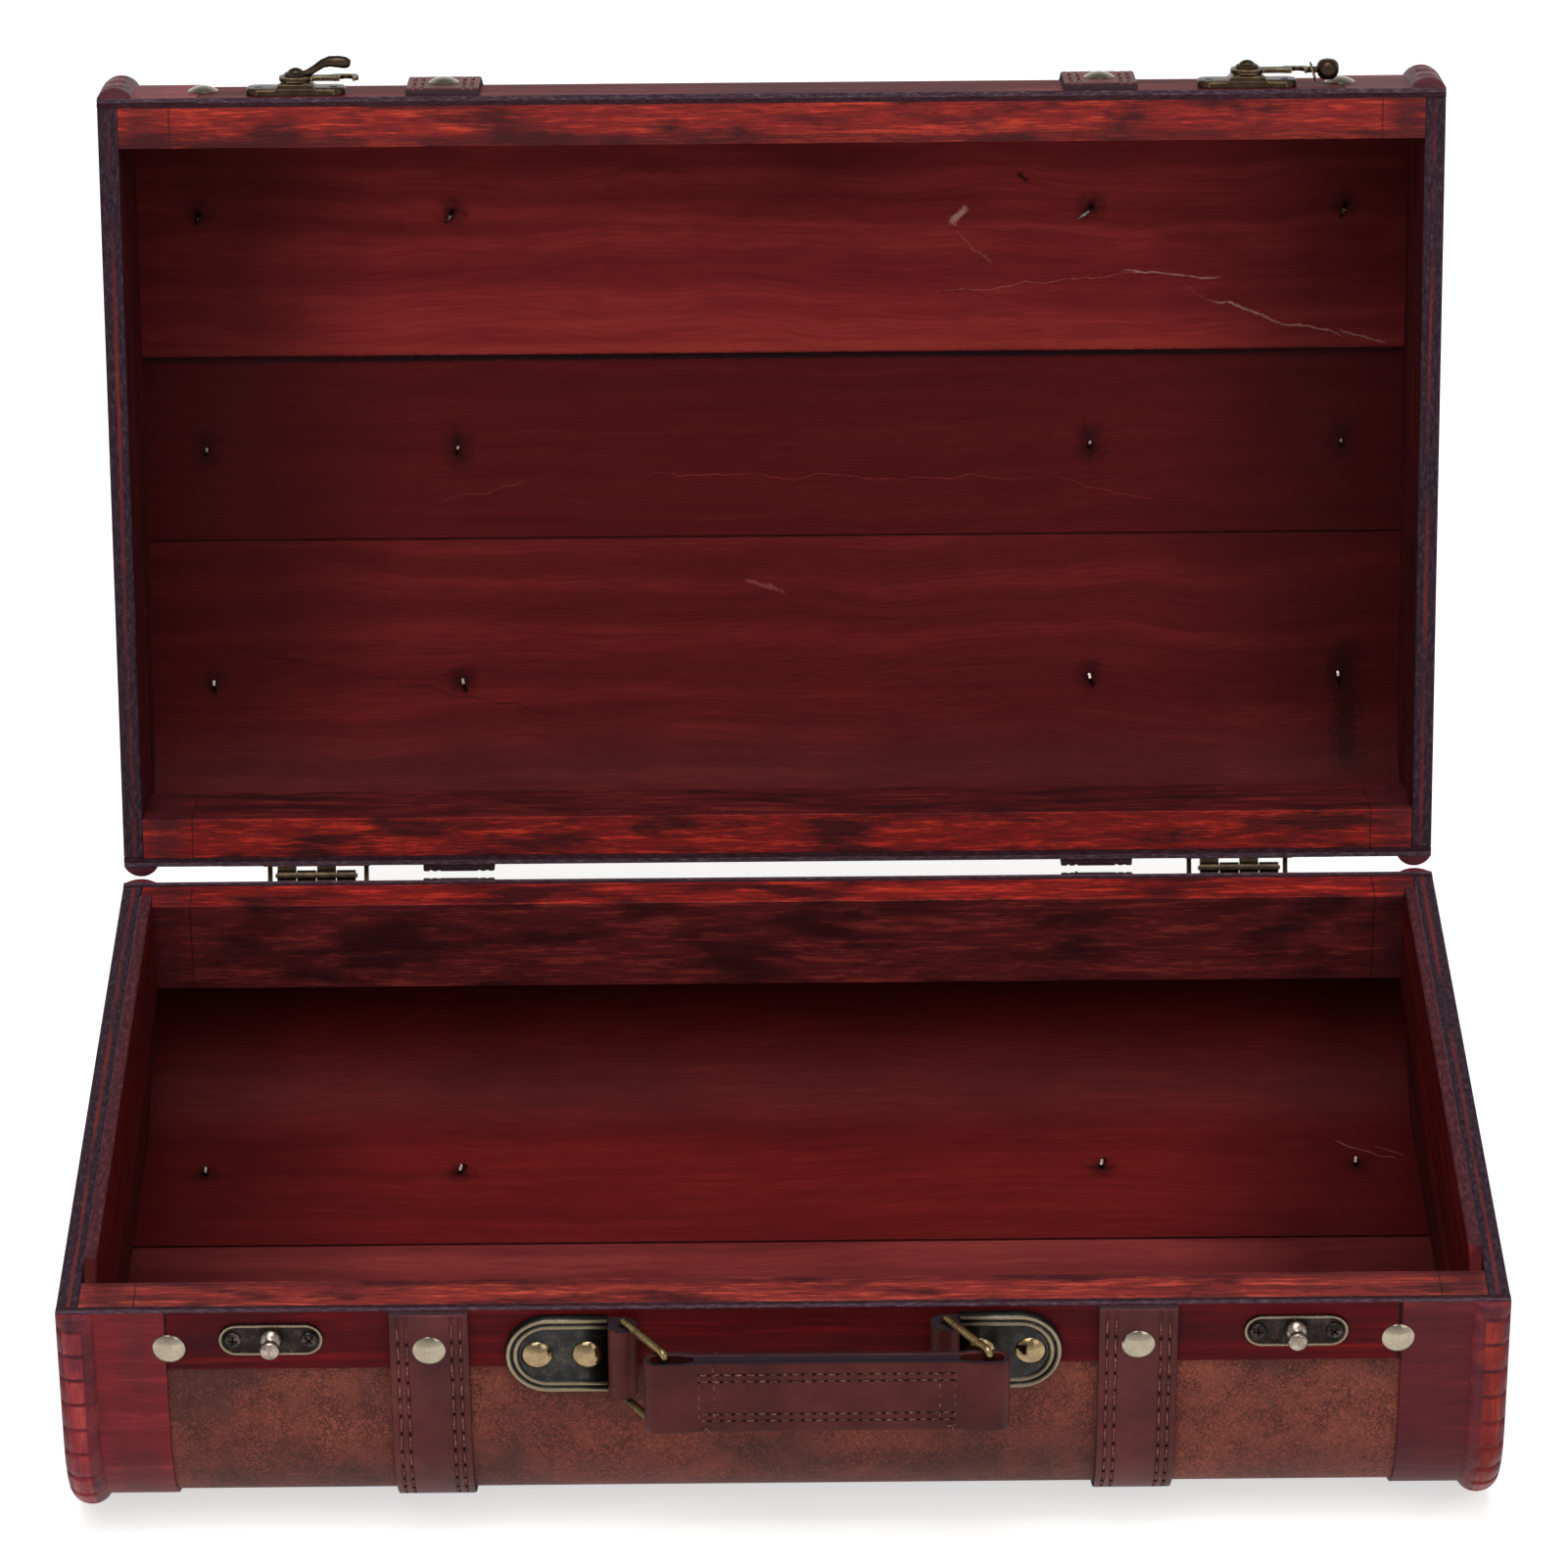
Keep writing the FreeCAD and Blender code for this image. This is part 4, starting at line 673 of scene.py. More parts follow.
for half in ("base", "lid"):
    wood = woods[half]
    for side, railKey in (("front", "rail"), ("back", "railBack")):
        dress("%s_rail_%s" % (half, side), wood[railKey], wide=0.0004)
        dress("%s_skin_%s" % (half, side), wood["inside" + side.capitalize()])
        dress("%s_rim_strip_%s" % (half, side), wood["trim"])
    for side, bandKey in (("left", "band"), ("right", "bandDeep")):
        dress("%s_panel_%s" % (half, side), wood["panel"], wide=0.0004)
        dress("%s_band_%s" % (half, side), wood[bandKey])
    dress("%s_centre_strip" % half, wood["insideStrip"])
    dress("%s_cover" % half, hide, wide=0.0001)
for side in ("left", "right"):
    dress("base_liner_%s" % side, woods["base"]["liner"], wide=0.0004)
print("woodwork dressed")


def pick(items, kind):
    # the verts, edges or faces among what an operator made
    return [item for item in items if isinstance(item, kind)]


def arc(x, y, radius, first, last, steps, tall=None):
    # points on a bow between two angles in degrees, each with its outward direction
    bow = []
    for i in range(steps + 1):
        turn = math.radians(first + (last - first) * i / steps)
        c, s = math.cos(turn), math.sin(turn)
        bow.append(((x + radius * c, y + (tall or radius) * s), (c, s)))
    return bow


def inward(bow):
    return [(point, (-out[0], -out[1])) for point, out in bow]


def bothSides(rows):
    return sorted([-row for row in rows] + list(rows))


def outline(half, start, steps=12):
    # points and outward directions down the front, under and up the back, in (y, h)
    tall, corner = case["tall"][half], case["corner"]
    return ([((0.0, start), (-1, 0)), ((0.0, tall - corner), (-1, 0))]
            + arc(corner, tall - corner, corner, 180, 90, steps)[1:]
            + arc(case["depth"] - corner, tall - corner, corner, 90, 0, steps)
            + [((case["depth"], start), (1, 0))])


def pointAt(points, along):
    # place and outward direction at a distance along the outline
    for (a, outA), (b, outB) in zip(points, points[1:]):
        long = math.dist(a, b)
        if along <= long or b is points[-1][0]:
            t = min(1.0, along / long) if long else 0.0
            place = (a[0] + (b[0] - a[0]) * t, a[1] + (b[1] - a[1]) * t)
            return place, Vector(outA).lerp(Vector(outB), t).normalized()
        along -= long
    return points[-1]


def outlineLength(points):
    return sum(math.dist(a[0], b[0]) for a, b in zip(points, points[1:]))


def drawAlong(bm, profile, sections, closed=True, caps=True):
    # extrudes a chain of points from section to section; a section places a (u, v) point
    verts = [bm.verts.new(sections[0](*point)) for point in profile]
    pairs = list(zip(verts, verts[1:])) + ([(verts[-1], verts[0])] if closed else [])
    edges = [bm.edges.new(pair) for pair in pairs]
    rings = [verts]
    for section in sections[1:]:
        made = bmesh.ops.extrude_edge_only(bm, edges=edges)["geom"]
        fresh = set(pick(made, BMVert))
        edges = pick(made, BMEdge)
        ahead = []
        for v in rings[-1]:
            ahead.append(next(e.other_vert(v) for e in v.link_edges if e.other_vert(v) in fresh))
        for v, point in zip(ahead, profile):
            v.co = section(*point)
        rings.append(ahead)
    if caps and closed:
        bm.faces.new(rings[0])
        bm.faces.new(list(reversed(rings[-1])))
    return rings


def tube(bm, spine, radii, sides=8, flat=1.0):
    # round wire along a few points, thicker or thinner at each
    profile = [(math.cos(2 * math.pi * i / sides), math.sin(2 * math.pi * i / sides)) for i in range(sides)]
    spine = [Vector(point) for point in spine]
    side = None
    sections = []
    for i, point in enumerate(spine):
        ahead = (spine[min(i + 1, len(spine) - 1)] - spine[max(i - 1, 0)]).normalized()
        if side is None:
            side = ahead.orthogonal().normalized() if abs(ahead.x) > 0.6 else Vector((1, 0, 0))
        side = (side - ahead * side.dot(ahead)).normalized()
        up = ahead.cross(side)
        across, rise = side * radii[i], up * radii[i] * flat
        sections.append(lambda u, v, p=point, a=across, b=rise: p + a * u + b * v)
    return drawAlong(bm, profile, sections)


def lathe(bm, profile, place, out, steps=28, foot=0.0):
    # (radius, height) pairs spun round an axis that leaves the surface at that place; faces
    # lower than the foot take the second material, on tack and rivet heads a painted shadow ring
    before = set(bm.verts)
    verts = [bm.verts.new((r, 0, z)) for r, z in profile]
    edges = [bm.edges.new(pair) for pair in zip(verts, verts[1:])]
    bmesh.ops.spin(bm, geom=verts + edges, cent=(0, 0, 0), axis=(0, 0, 1), angle=2 * math.pi,
                   steps=steps, use_merge=True, use_duplicate=False)
    fresh = [v for v in bm.verts if v not in before]
    bmesh.ops.remove_doubles(bm, verts=fresh, dist=0.0005)
    fresh = [v for v in bm.verts if v not in before]
    for made in {face for v in fresh for face in v.link_faces}:
        if all(v.co.z < foot for v in made.verts):
            made.material_index = 1
    turn = Vector(out).to_track_quat("Z", "X").to_matrix().to_4x4()
    bmesh.ops.transform(bm, matrix=Matrix.Translation(place) @ turn, verts=fresh)


def domeProfile(wide, high, lift=0.25, steps=7):
    # pressed dome: a spherical cap on a short upright rim
    radius = (wide * wide / 4 + high * high) / (2 * high)
    spread = math.asin(wide / 2 / radius)
    turns = [spread * i / steps for i in range(steps + 1)]
    points = [(radius * math.sin(a), radius * math.cos(a) - radius + high + lift) for a in turns]
    return points + [(wide / 2 + 0.05, lift * 0.4), (wide / 2 - 0.1, 0.0)]


beadPiece = {
    "wide": 8.5, "high": 2.6, "endGap": 0.3, "soleCut": 0.15,
    "pitch": 6.85, "notch": 0.5, "notchHalf": 0.9, "steps": 14, "cellFrom": -1.6, "cellTo": 3.0,
    "ringStep": 3.0, "endDrop": 0.35, "lipFrom": 3.2, "lipIn": 0.25,
}


def makeBead(half, side):
    # half-round bead, its outer half cut across into cells
    d = beadPiece
    radius = (d["wide"] ** 2 / 4 + d["high"] ** 2) / (2 * d["high"])
    spread = math.asin(d["wide"] / 2 / radius)
    turns = [-spread + 2 * spread * i / d["steps"] for i in range(d["steps"] + 1)]
    profile = [(radius * math.sin(a), radius * math.cos(a) - radius + d["high"]) for a in turns]
    profile += [(d["wide"] / 2, 0.0), (-d["wide"] / 2, 0.0)]
    sign = -1 if side == "left" else 1
    middle = sign * (case["halfWide"] - d["wide"] / 2)
    points = outline(half, d["endGap"])
    total = outlineLength(points)
    dice = random.Random(half + side)
    stops = [(0.0, 0.0), (0.35, 0.0)]
    place = 2.2 + dice.random() * 2
    n = d["notchHalf"]
    while place < total - 2.5:
        stops += [(place - n, 0.0), (place - n * 0.35, 1.0), (place + n * 0.35, 1.0), (place + n, 0.0)]
        place += d["pitch"] * (1 + dice.uniform(-0.06, 0.06))
    for i in range(int(total / d["ringStep"])):
        s = d["ringStep"] * (i + 1)
        if s < total and all(abs(s - stop[0]) > 0.8 for stop in stops):
            stops.append((s, 0.0))
    stops = sorted(stops) + [(total - 0.001, 0.0)]

    def section(along, deep):
        spot, out = pointAt(points, along)
        shrink = d["endDrop"] if along < 0.2 or along > total - 0.2 else 0.0
        hollow = d["notch"] * deep

        def place(x, rise):
            outer = sign * x
            cut = hollow * min(1.0, max(0.0, (outer - d["cellFrom"] + 0.6) / 0.7)) if rise > 0.05 else 0.0
            top = rise - cut - (shrink if rise > 1.0 else 0.0)
            edge = x * (1 - 0.04 * (shrink > 0))
            if deep and outer > d["lipFrom"]:
                edge -= sign * d["lipIn"] * deep
            return middle + edge, spot[0] + out[0] * top, spot[1] + out[1] * top
        return place

    bm = bmesh.new()
    rings = drawAlong(bm, profile, [section(*s) for s in stops])
    carved = set()
    for ring, (along, deep), after in zip(rings, stops, stops[1:]):
        if deep == 0.0 and after[1] == 0.0 and 4.0 < along < total - 4.0:
            for v, point in zip(ring, profile):
                if d["cellFrom"] < sign * point[0] < d["cellTo"]:
                    carved.update(face for face in v.link_faces if all(
                        d["cellFrom"] < sign * (w.co.x - middle) < d["cellTo"] for w in face.verts))
    for face in carved:
        face.material_index = 1
    if half == "base":
        lowest = case["tall"]["base"] + d["high"] - d["soleCut"]
        for v in bm.verts:
            v.co.z = min(v.co.z, lowest)
    placeMesh(bm, half)
    # the base's right bead takes the brightest pads: painted highlight
    cell = "cell" if (half, side) == ("base", "right") else "cellDull"
    obj = makeObject(bm, "%s_bead_%s_notched" % (half, side), half,
                     [woods[half]["bead"], woods[half][cell]])
    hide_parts("%s_bead_%s" % (half, side))


for half in ("base", "lid"):
    for side in ("left", "right"):
        makeBead(half, side)
print("beads notched")

strapPiece = {
    "place": 80.5, "wide": 18.0, "thick": 1.7, "endGap": 0.4, "coverDown": 0.9, "stripTall": 15.6,
    "edgeRound": 0.45, "rows": (5.1, 7.1), "groove": 0.28, "stitch": 4.2, "pitch": 5.05,
    "threadWide": 0.44, "threadHigh": 0.34, "step": 2.2, "curl": 0.25, "hole": (0.78, 0.34, 0.8),
}


def sewnEdge(halfWide, top, e):
    # eased edge of a strap, from its side up to its face
    return [(halfWide, top - e), (halfWide - e * 0.3, top - e * 0.3), (halfWide - e, top)]


def grooves(rows, top, half, foot, deep):
    # pressed grooves that the stitches lie in
    chain = []
    for row in bothSides(rows):
        chain += [(row - half, top), (row - foot, top - deep), (row + foot, top - deep), (row + half, top)]
    return chain


def strapProud(half, along, total):
    # how far the strap's back stands off: over the rim strip first, then down on the cover
    d = strapPiece
    near = min(along, total - along)
    t = min(1.0, max(0.0, (near - d["stripTall"] - 3.5) / 4.0))
    return -d["coverDown"] * t * t * (3 - 2 * t)


def makeStrap(half, side):
    # strap from rim to rim with eased edges and four sewn grooves
    d = strapPiece
    sign = -1 if side == "left" else 1
    middle = sign * d["place"]
    halfWide = d["wide"] / 2
    top = d["thick"]
    edge = sewnEdge(halfWide, top, d["edgeRound"])
    profile = ([(-halfWide, 0.0)] + [(-x, y) for x, y in edge]
               + grooves(d["rows"], top, 0.5, 0.22, d["groove"]) + edge[::-1] + [(halfWide, 0.0)])
    points = outline(half, d["endGap"])
    total = outlineLength(points)
    stops = [0.0, 0.25, 0.7]
    while stops[-1] < total - 3.0:
        stops.append(stops[-1] + d["step"])
    stops += [total - 0.7, total - 0.25, total - 0.001]
    dice = random.Random(half + side + "strap")
    drift = dice.uniform(-0.12, 0.12)

    def section(along):
        spot, out = pointAt(points, along)
        stand = strapProud(half, along, total)
        end = min(along, total - along)
        # the cut end curls a little off the wood
        curl = d["curl"] * max(0.0, 1 - end / 3.0)
        sway = drift * math.sin(along * 0.05)

        def place(x, rise):
            tuck = 0.35 if end < 0.1 and rise > 0.5 else 0.0
            top = rise + stand - tuck + (curl if rise > 0.5 else 0.0)
            return middle + x + sway * 0.3, spot[0] + out[0] * top, spot[1] + out[1] * top
        return place

    bm = bmesh.new()
    drawAlong(bm, profile, [section(s) for s in stops])
    for face in bm.faces:
        # sides, back and cut ends show the dyed edge
        xs = [abs(v.co.x - middle) for v in face.verts]
        if len(face.verts) > 4 or min(xs) > halfWide - 0.15:
            face.material_index = 1
    placeMesh(bm, half)
    obj = makeObject(bm, "%s_strap_%s_sewn" % (half, side), half, [leather, leatherEdge])
    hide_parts("%s_strap_%s" % (half, side))

    # the sewing: flattened stitches lying in the grooves, and between each two a dark blob of painted shade
    # for the needle hole
    bm = bmesh.new()
    holes = bmesh.new()
    for row in bothSides(d["rows"]):
        along = 2.6 + dice.random() * 1.5
        while along < total - 3.0:
            long = d["stitch"] * dice.uniform(0.88, 1.08)
            spot, out = pointAt(points, along + long / 2)
            stand = strapProud(half, along + long / 2, total)
            lift = top + stand - d["groove"] + d["threadHigh"] * 0.35
            up = Vector((0, out[0], out[1]))
            run = Vector((0, out[1], -out[0]))
            centre = Vector((middle + row + dice.uniform(-0.08, 0.08), spot[0], spot[1])) + up * lift
            addBlob(bm, centre, up, run, (d["threadWide"], d["threadHigh"], long), dice.uniform(-4, 4))
            gap = along + long + (d["pitch"] - long) / 2
            spot, out = pointAt(points, gap)
            up = Vector((0, out[0], out[1]))
            hole = Vector((middle + row, spot[0], spot[1])) + up * (lift - 0.02)
            addBlob(holes, hole, up, Vector((0, out[1], -out[0])), d["hole"], 0)
            along += d["pitch"] * dice.uniform(0.96, 1.04)
    placeMesh(bm, half)
    makeObject(bm, "%s_strap_%s_stitches" % (half, side), half, [thread])
    placeMesh(holes, half)
    makeObject(holes, "%s_strap_%s_needle_holes" % (half, side), half, [holeShade])


def addBlob(bm, centre, up, run, size, lean):
    # flattened bead of thread, or the painted shade of a needle hole, lying on a surface
    ring = bmesh.ops.create_uvsphere(bm, u_segments=6, v_segments=5, radius=0.5)["verts"]
    axes = Matrix((up.cross(run), up, run)).transposed().to_4x4()
    tilt = Matrix.Rotation(math.radians(lean), 4, "Y")
    bmesh.ops.transform(bm, matrix=Matrix.Translation(centre) @ axes @ tilt @ Matrix.Diagonal((*size, 1)),
                        verts=ring)


for half in ("base", "lid"):
    for side in ("left", "right"):
        makeStrap(half, side)
print("straps sewn")


tackPiece = {
    "wide": 7.6, "high": 1.3, "foot": 0.32, "down": 10.0, "bandPlace": 139.7, "strapPlace": 80.52,
    "floorPlace": 144.5, "strapLift": 0.8, "row": {"base": 56.0, "lid": 61.0},
    "bandThick": 1.2, "skin": 1.2, "strip": 0.7, "tine": 3.8, "wire": [0.6, 0.62, 0.6, 0.48, 0.22],
    "lean": {"base": (-0.7, -0.4, 0.5), "lid": (-1.1, -0.3, 0.4)},
}


def makeTacks(half):
    d = tackPiece
    tall = case["tall"][half]
    heads = bmesh.new()
    tines = bmesh.new()
    dice = random.Random(half + "tacks")
    dome = domeProfile(d["wide"] - 0.1, d["high"], 0.1, 9)
    for sign in (-1, 1):
        for x, lift in ((sign * d["bandPlace"], 0.0), (sign * d["strapPlace"], strapPiece["thick"])):
            lathe(heads, dome, (x, -lift, d["down"]), (0, -1, 0), 32, d["foot"])
            lathe(heads, dome, (x, case["depth"] + lift, d["down"]), (0, 1, 0), 32, d["foot"])
        for place, lift in ((d["floorPlace"], 0.0), (d["strapPlace"], d["strapLift"])):
            x = sign * place
            swerve = 0.4 if lift == 0.0 else 1  # the end panel leaves the outer tines less room
            for step in (-1, 0, 1):
                y = case["depth"] / 2 + step * d["row"][half]
                lathe(heads, dome, (x, y, tall + lift), (0, 0, 1), 32, d["foot"])
                inner = tall - d["bandThick"] - (d["strip"] if step == 0 else d["skin"])
                long = d["tine"] * (0.45 if step == 0 else dice.uniform(0.75, 1.0))
                slant = d["lean"][half][step + 1] * dice.uniform(0.6, 1.0) * long * swerve
                high = 1.7 if step else 0.9
                spine = [(x, y, inner + 0.3), (x, y, inner - high * 0.6),
                         (x + slant * 0.2, y + long * 0.25, inner - high),
                         (x + slant * 0.6, y + long * 0.65, inner - high * 0.75),
                         (x + slant, y + long, inner - 0.05)]
                tube(tines, spine, d["wire"], 8, 0.75)
    placeMesh(heads, half)
    placeMesh(tines, half)
    # the heads' lowest ring takes the dark second finish: a painted contact shadow where each head meets the
    # wood or leather
    obj = makeObject(heads, "%s_tack_heads" % half, half, [brass["tack"], brass["steel"]])
    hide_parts("%s_studs" % half)
    makeObject(tines, "%s_tack_tines" % half, half, [brass["tine"]])


for half in ("base", "lid"):
    makeTacks(half)
print("tacks driven")


keeperPiece = {
    "place": 116.4, "down": 7.4, "long": 23.8, "tall": 8.2, "sheet": 0.0003, "screwPlace": 8.65,
    "cross": (2.3, 0.3, 0.5), "crossDeep": 1.12, "crossTurn": 20,
    "rim": [(0.0, 0.0), (0.0, 0.5), (0.12, 0.74), (0.35, 0.84), (0.62, 0.78), (0.82, 0.6), (0.95, 0.5)],
    "knob": [(0, 6.1), (1.0, 6.06), (1.75, 5.88), (2.2, 5.5), (2.32, 5.1), (2.28, 4.78), (2.0, 4.6),
             (1.4, 4.5), (1.36, 3.0), (1.6, 2.6), (2.1, 2.2), (2.5, 1.6), (2.75, 1.0), (2.8, 0.45)],
    "screw": [(0, 1.25), (0.9, 1.2), (1.5, 1.05), (1.85, 0.85), (2.0, 0.6), (2.0, 0.45)],
}


def rimSections(path):
    return [lambda u, v, p=p, n=n: (p[0] + n[0] * u, -v, p[1] + n[1] * u) for p, n in path]


def sheetMetal(obj, thick):
    wall = obj.modifiers.new("sheet", "SOLIDIFY")
    wall.thickness = thick
    wall.offset = -1


def makeKeepers():
    # plate with a rolled rim, turned knob, and two screws; their cross recesses are dark bars of painted
    # shade
    d = keeperPiece
    plates, knobs, screwHeads, crosses = (bmesh.new() for _ in range(4))
    radius = d["tall"] / 2
    reach = d["long"] / 2 - radius
    for sign in (-1, 1):
        middle = sign * d["place"]
        path = inward(arc(middle + reach, d["down"], radius, -90, 90, 12)
                      + arc(middle - reach, d["down"], radius, 90, 270, 12))
        rings = drawAlong(plates, d["rim"], rimSections(path + path[:1]), closed=False, caps=False)
        plates.faces.new([ring[-1] for ring in rings[:-1]])
        lathe(knobs, d["knob"], (middle, 0, d["down"]), (0, -1, 0), 32)
        for end in (-1, 1):
            x = middle + end * d["screwPlace"]
            lathe(screwHeads, d["screw"], (x, 0, d["down"]), (0, -1, 0), 24)
            for turn in (0, 90):
                bar = bmesh.ops.create_cube(crosses, size=1.0)["verts"]
                place = Matrix.Translation((x, -d["crossDeep"], d["down"]))
                tilt = Matrix.Rotation(math.radians(d["crossTurn"] + turn + 25 * end), 4, "Y")
                size = Matrix.Diagonal((*d["cross"], 1))
                bmesh.ops.transform(crosses, verts=bar, matrix=place @ tilt @ size)
    for bm in (plates, knobs, screwHeads, crosses):
        placeMesh(bm, "base")
    obj = makeObject(plates, "keeper_plates_pressed", "base", [brass["dark"]])
    sheetMetal(obj, d["sheet"])
    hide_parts("keeper_plates")
    obj = makeObject(knobs, "keeper_knobs_turned", "base", [brass["knob"]])
    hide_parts("keeper_knobs")
    obj = makeObject(screwHeads, "keeper_screw_heads", "base", [brass["steel"]])
    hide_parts("keeper_screws")
    makeObject(crosses, "keeper_screw_crosses", "base", [holeShade], smooth=False)


makeKeepers()
print("keepers fixed")


mountPiece = {
    "outer": 63.4, "inner": 40.0, "straight": 4.0, "tall": 20.0, "down": 11.5, "panel": 1.7, "sheet": 0.0004,
    "rivetWide": 7.2, "rivetHigh": 1.6, "rivetFoot": 0.5, "rivets": (56.0, 44.5),
    "rim": [(0.0, 0.0), (0.0, 1.0), (0.1, 1.7), (0.35, 2.2), (0.75, 2.4), (1.1, 2.25), (1.35, 1.9),
            (1.55, 1.78), (1.8, 1.9), (2.05, 2.2), (2.4, 2.35), (2.75, 2.2), (3.0, 1.9), (3.25, 1.7)],
}


def makeMount(side):
    # stamped plate with a double rolled rim, open toward the handle
    d = mountPiece
    sign = -1 if side == "left" else 1
    radius = d["tall"] / 2
    centre = d["outer"] - radius
    high, low = d["down"] - radius, d["down"] + radius
    path = [((x, high), (0, 1)) for x in (d["inner"], centre - d["straight"])]
    path += inward(arc(centre, d["down"], radius, -90, 90, 24))
    path += [((x, low), (0, -1)) for x in (centre - d["straight"], d["inner"])]
    path = [((sign * p[0], p[1]), (sign * n[0], n[1])) for p, n in path]
    bm = bmesh.new()
    rings = drawAlong(bm, d["rim"], rimSections(path), closed=False, caps=False)
    bm.faces.new([ring[-1] for ring in rings])
    placeMesh(bm, "base")
    obj = makeObject(bm, "handle_mount_%s_stamped" % side, "base", [brass["plate"]])
    sheetMetal(obj, d["sheet"])
    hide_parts("handle_mount_%s" % side)


for side in ("left", "right"):
    makeMount(side)


def makeRivets():
    d = mountPiece
    bm = bmesh.new()
    dome = domeProfile(d["rivetWide"], d["rivetHigh"], 0.15)
    for sign in (-1, 1):
        for place in d["rivets"]:
            lathe(bm, dome, (sign * place, -d["panel"], d["down"]), (0, -1, 0), 36, d["rivetFoot"])
    placeMesh(bm, "base")
    # the lowest ring of each rivet head takes the dark second finish: a painted contact shadow on the plate
    obj = makeObject(bm, "handle_mount_rivet_heads", "base", [brass["rivet"], brass["steel"]])
    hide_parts("handle_mount_rivets")


makeRivets()
print("handle mounts fixed")


handlePiece = {
    "loopCentre": 38.2, "loopHalf": 3.0, "wallHalf": 2.3, "thin": 29.0, "full": 33.5, "leather": 1.3,
    "tall": 18.4, "round": 0.35, "seamEnd": 28.8, "seamStart": 25.4, "rows": (4.4, 6.2),
    "groove": 0.2, "stitch": 1.75, "pitch": 2.6, "threadWide": 0.55, "threadHigh": 0.34,
    "hole": (0.8, 0.34, 0.85),
}
handleCentre = sum(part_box("handle_outer_leather"), Vector()) / 2 * 1000


def handleHalfThick(x):
    d = handlePiece
    t = min(1.0, max(0.0, (abs(x) - d["thin"]) / (d["full"] - d["thin"])))
    return d["wallHalf"] + (d["loopHalf"] - d["wallHalf"]) * t * t * (3 - 2 * t)


def makeHandle():
    # one strap wound round both rings and sewn flat on its core
    d = handlePiece
    path = []
    steps = 46
    for i in range(steps + 1):
        x = -d["loopCentre"] + 2 * d["loopCentre"] * i / steps
        slope = (handleHalfThick(x + 0.05) - handleHalfThick(x - 0.05)) / 0.1
        out = Vector((-slope, -1)).normalized()
        path.append(((x, -handleHalfThick(x)), (out.x, out.y)))
    path += arc(d["loopCentre"], 0.0, d["loopHalf"], -90, 90, 12)[1:-1]
    path += [((-p[0], -p[1]), (-n[0], -n[1])) for p, n in path]
    half = d["tall"] / 2
    e = d["round"]
    t = d["leather"]
    edge = sewnEdge(half, 0.0, e)
    profile = ([(-half, -t + e)] + [(-x, y) for x, y in edge]
               + grooves(d["rows"], 0.0, 0.4, 0.15, d["groove"])
               + edge[::-1] + [(half, -t + e), (half - e, -t), (-half + e, -t)])

    def section(p, n):
        sewn = abs(p[0]) < d["seamEnd"]

        def place(u, v):
            # past the seam's end the leather has no groove
            deep = 0.0 if abs(v + d["groove"]) < 0.01 and not sewn else v
            return handleCentre + Vector((p[0] + n[0] * deep, p[1] + n[1] * deep, u))
        return place

    bm = bmesh.new()
    drawAlong(bm, profile, [section(p, n) for p, n in path + path[:1]], caps=False)
    bmesh.ops.remove_doubles(bm, verts=bm.verts, dist=0.001)
    for face in bm.faces:
        if all(abs(v.co.z - handleCentre.z) > half - e * 0.95 for v in face.verts):
            face.material_index = 1
    bmesh.ops.transform(bm, matrix=Matrix.Scale(0.001, 4), verts=bm.verts)
    bmesh.ops.recalc_face_normals(bm, faces=bm.faces)
    obj = makeObject(bm, "handle_strap_sewn", "handle", [shadedHandleLeather, handleEdge])
    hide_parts("handle_outer_leather")

    threads = bmesh.new()
    holes = bmesh.new()
    dice = random.Random("handle")
    for face in (-1, 1):
        up = Vector((0, face, 0))
        runs = []
        for row in bothSides(d["rows"]):
            runs.append(((-d["seamEnd"], row), (d["seamEnd"], row)))
        for column in (-d["seamEnd"], -d["seamStart"], d["seamStart"], d["seamEnd"]):
            runs.append(((column, -d["rows"][1]), (column, d["rows"][1])))
        for start, end in runs:
            long = math.dist(start, end)
            run = Vector((end[0] - start[0], 0, end[1] - start[1])).normalized()
            at = 0.3
            while at < long - 1.0:
                size = d["stitch"] * dice.uniform(0.85, 1.1)
                spot = Vector((start[0], 0, start[1])) + run * (at + size / 2)
                lift = handleHalfThick(spot.x) - 0.08
                centre = handleCentre + Vector((spot.x, face * lift, spot.z + dice.uniform(-0.07, 0.07)))
                lean = dice.uniform(-6, 6)
                addBlob(threads, centre, up, run, (d["threadWide"], d["threadHigh"], size), lean)
                hole = Vector((start[0], 0, start[1])) + run * (at + size + (d["pitch"] - size) / 2)
                centre = handleCentre + Vector((hole.x, face * (lift - 0.05), hole.z))
                addBlob(holes, centre, up, run, d["hole"], 0)
                at += d["pitch"]
        # loose ends of thread where the sewing starts and stops
        for x, z in ((-d["seamStart"], 8.4), (-d["seamEnd"] + 1.5, -8.2), (d["seamEnd"] - 0.6, -8.0)):
            base = handleCentre + Vector((x, face * (handleHalfThick(x) - 0.1), z))
            for _ in range(3):
                out = (dice.uniform(-1.2, 1.2), face * dice.uniform(0.2, 0.6), dice.uniform(-1.2, 1.0))
                tip = base + Vector(out)
                mid = (base + tip) / 2 + Vector((0, face * 0.3, 0.2))
                tube(threads, [base, mid, tip], [0.22, 0.2, 0.14], 6)
    for bm, name, finish in ((threads, "handle_stitches", handleThread),
                             (holes, "handle_needle_holes", holeShade)):
        bmesh.ops.transform(bm, matrix=Matrix.Scale(0.001, 4), verts=bm.verts)
        bmesh.ops.recalc_face_normals(bm, faces=bm.faces)
        makeObject(bm, name, "handle", [finish])


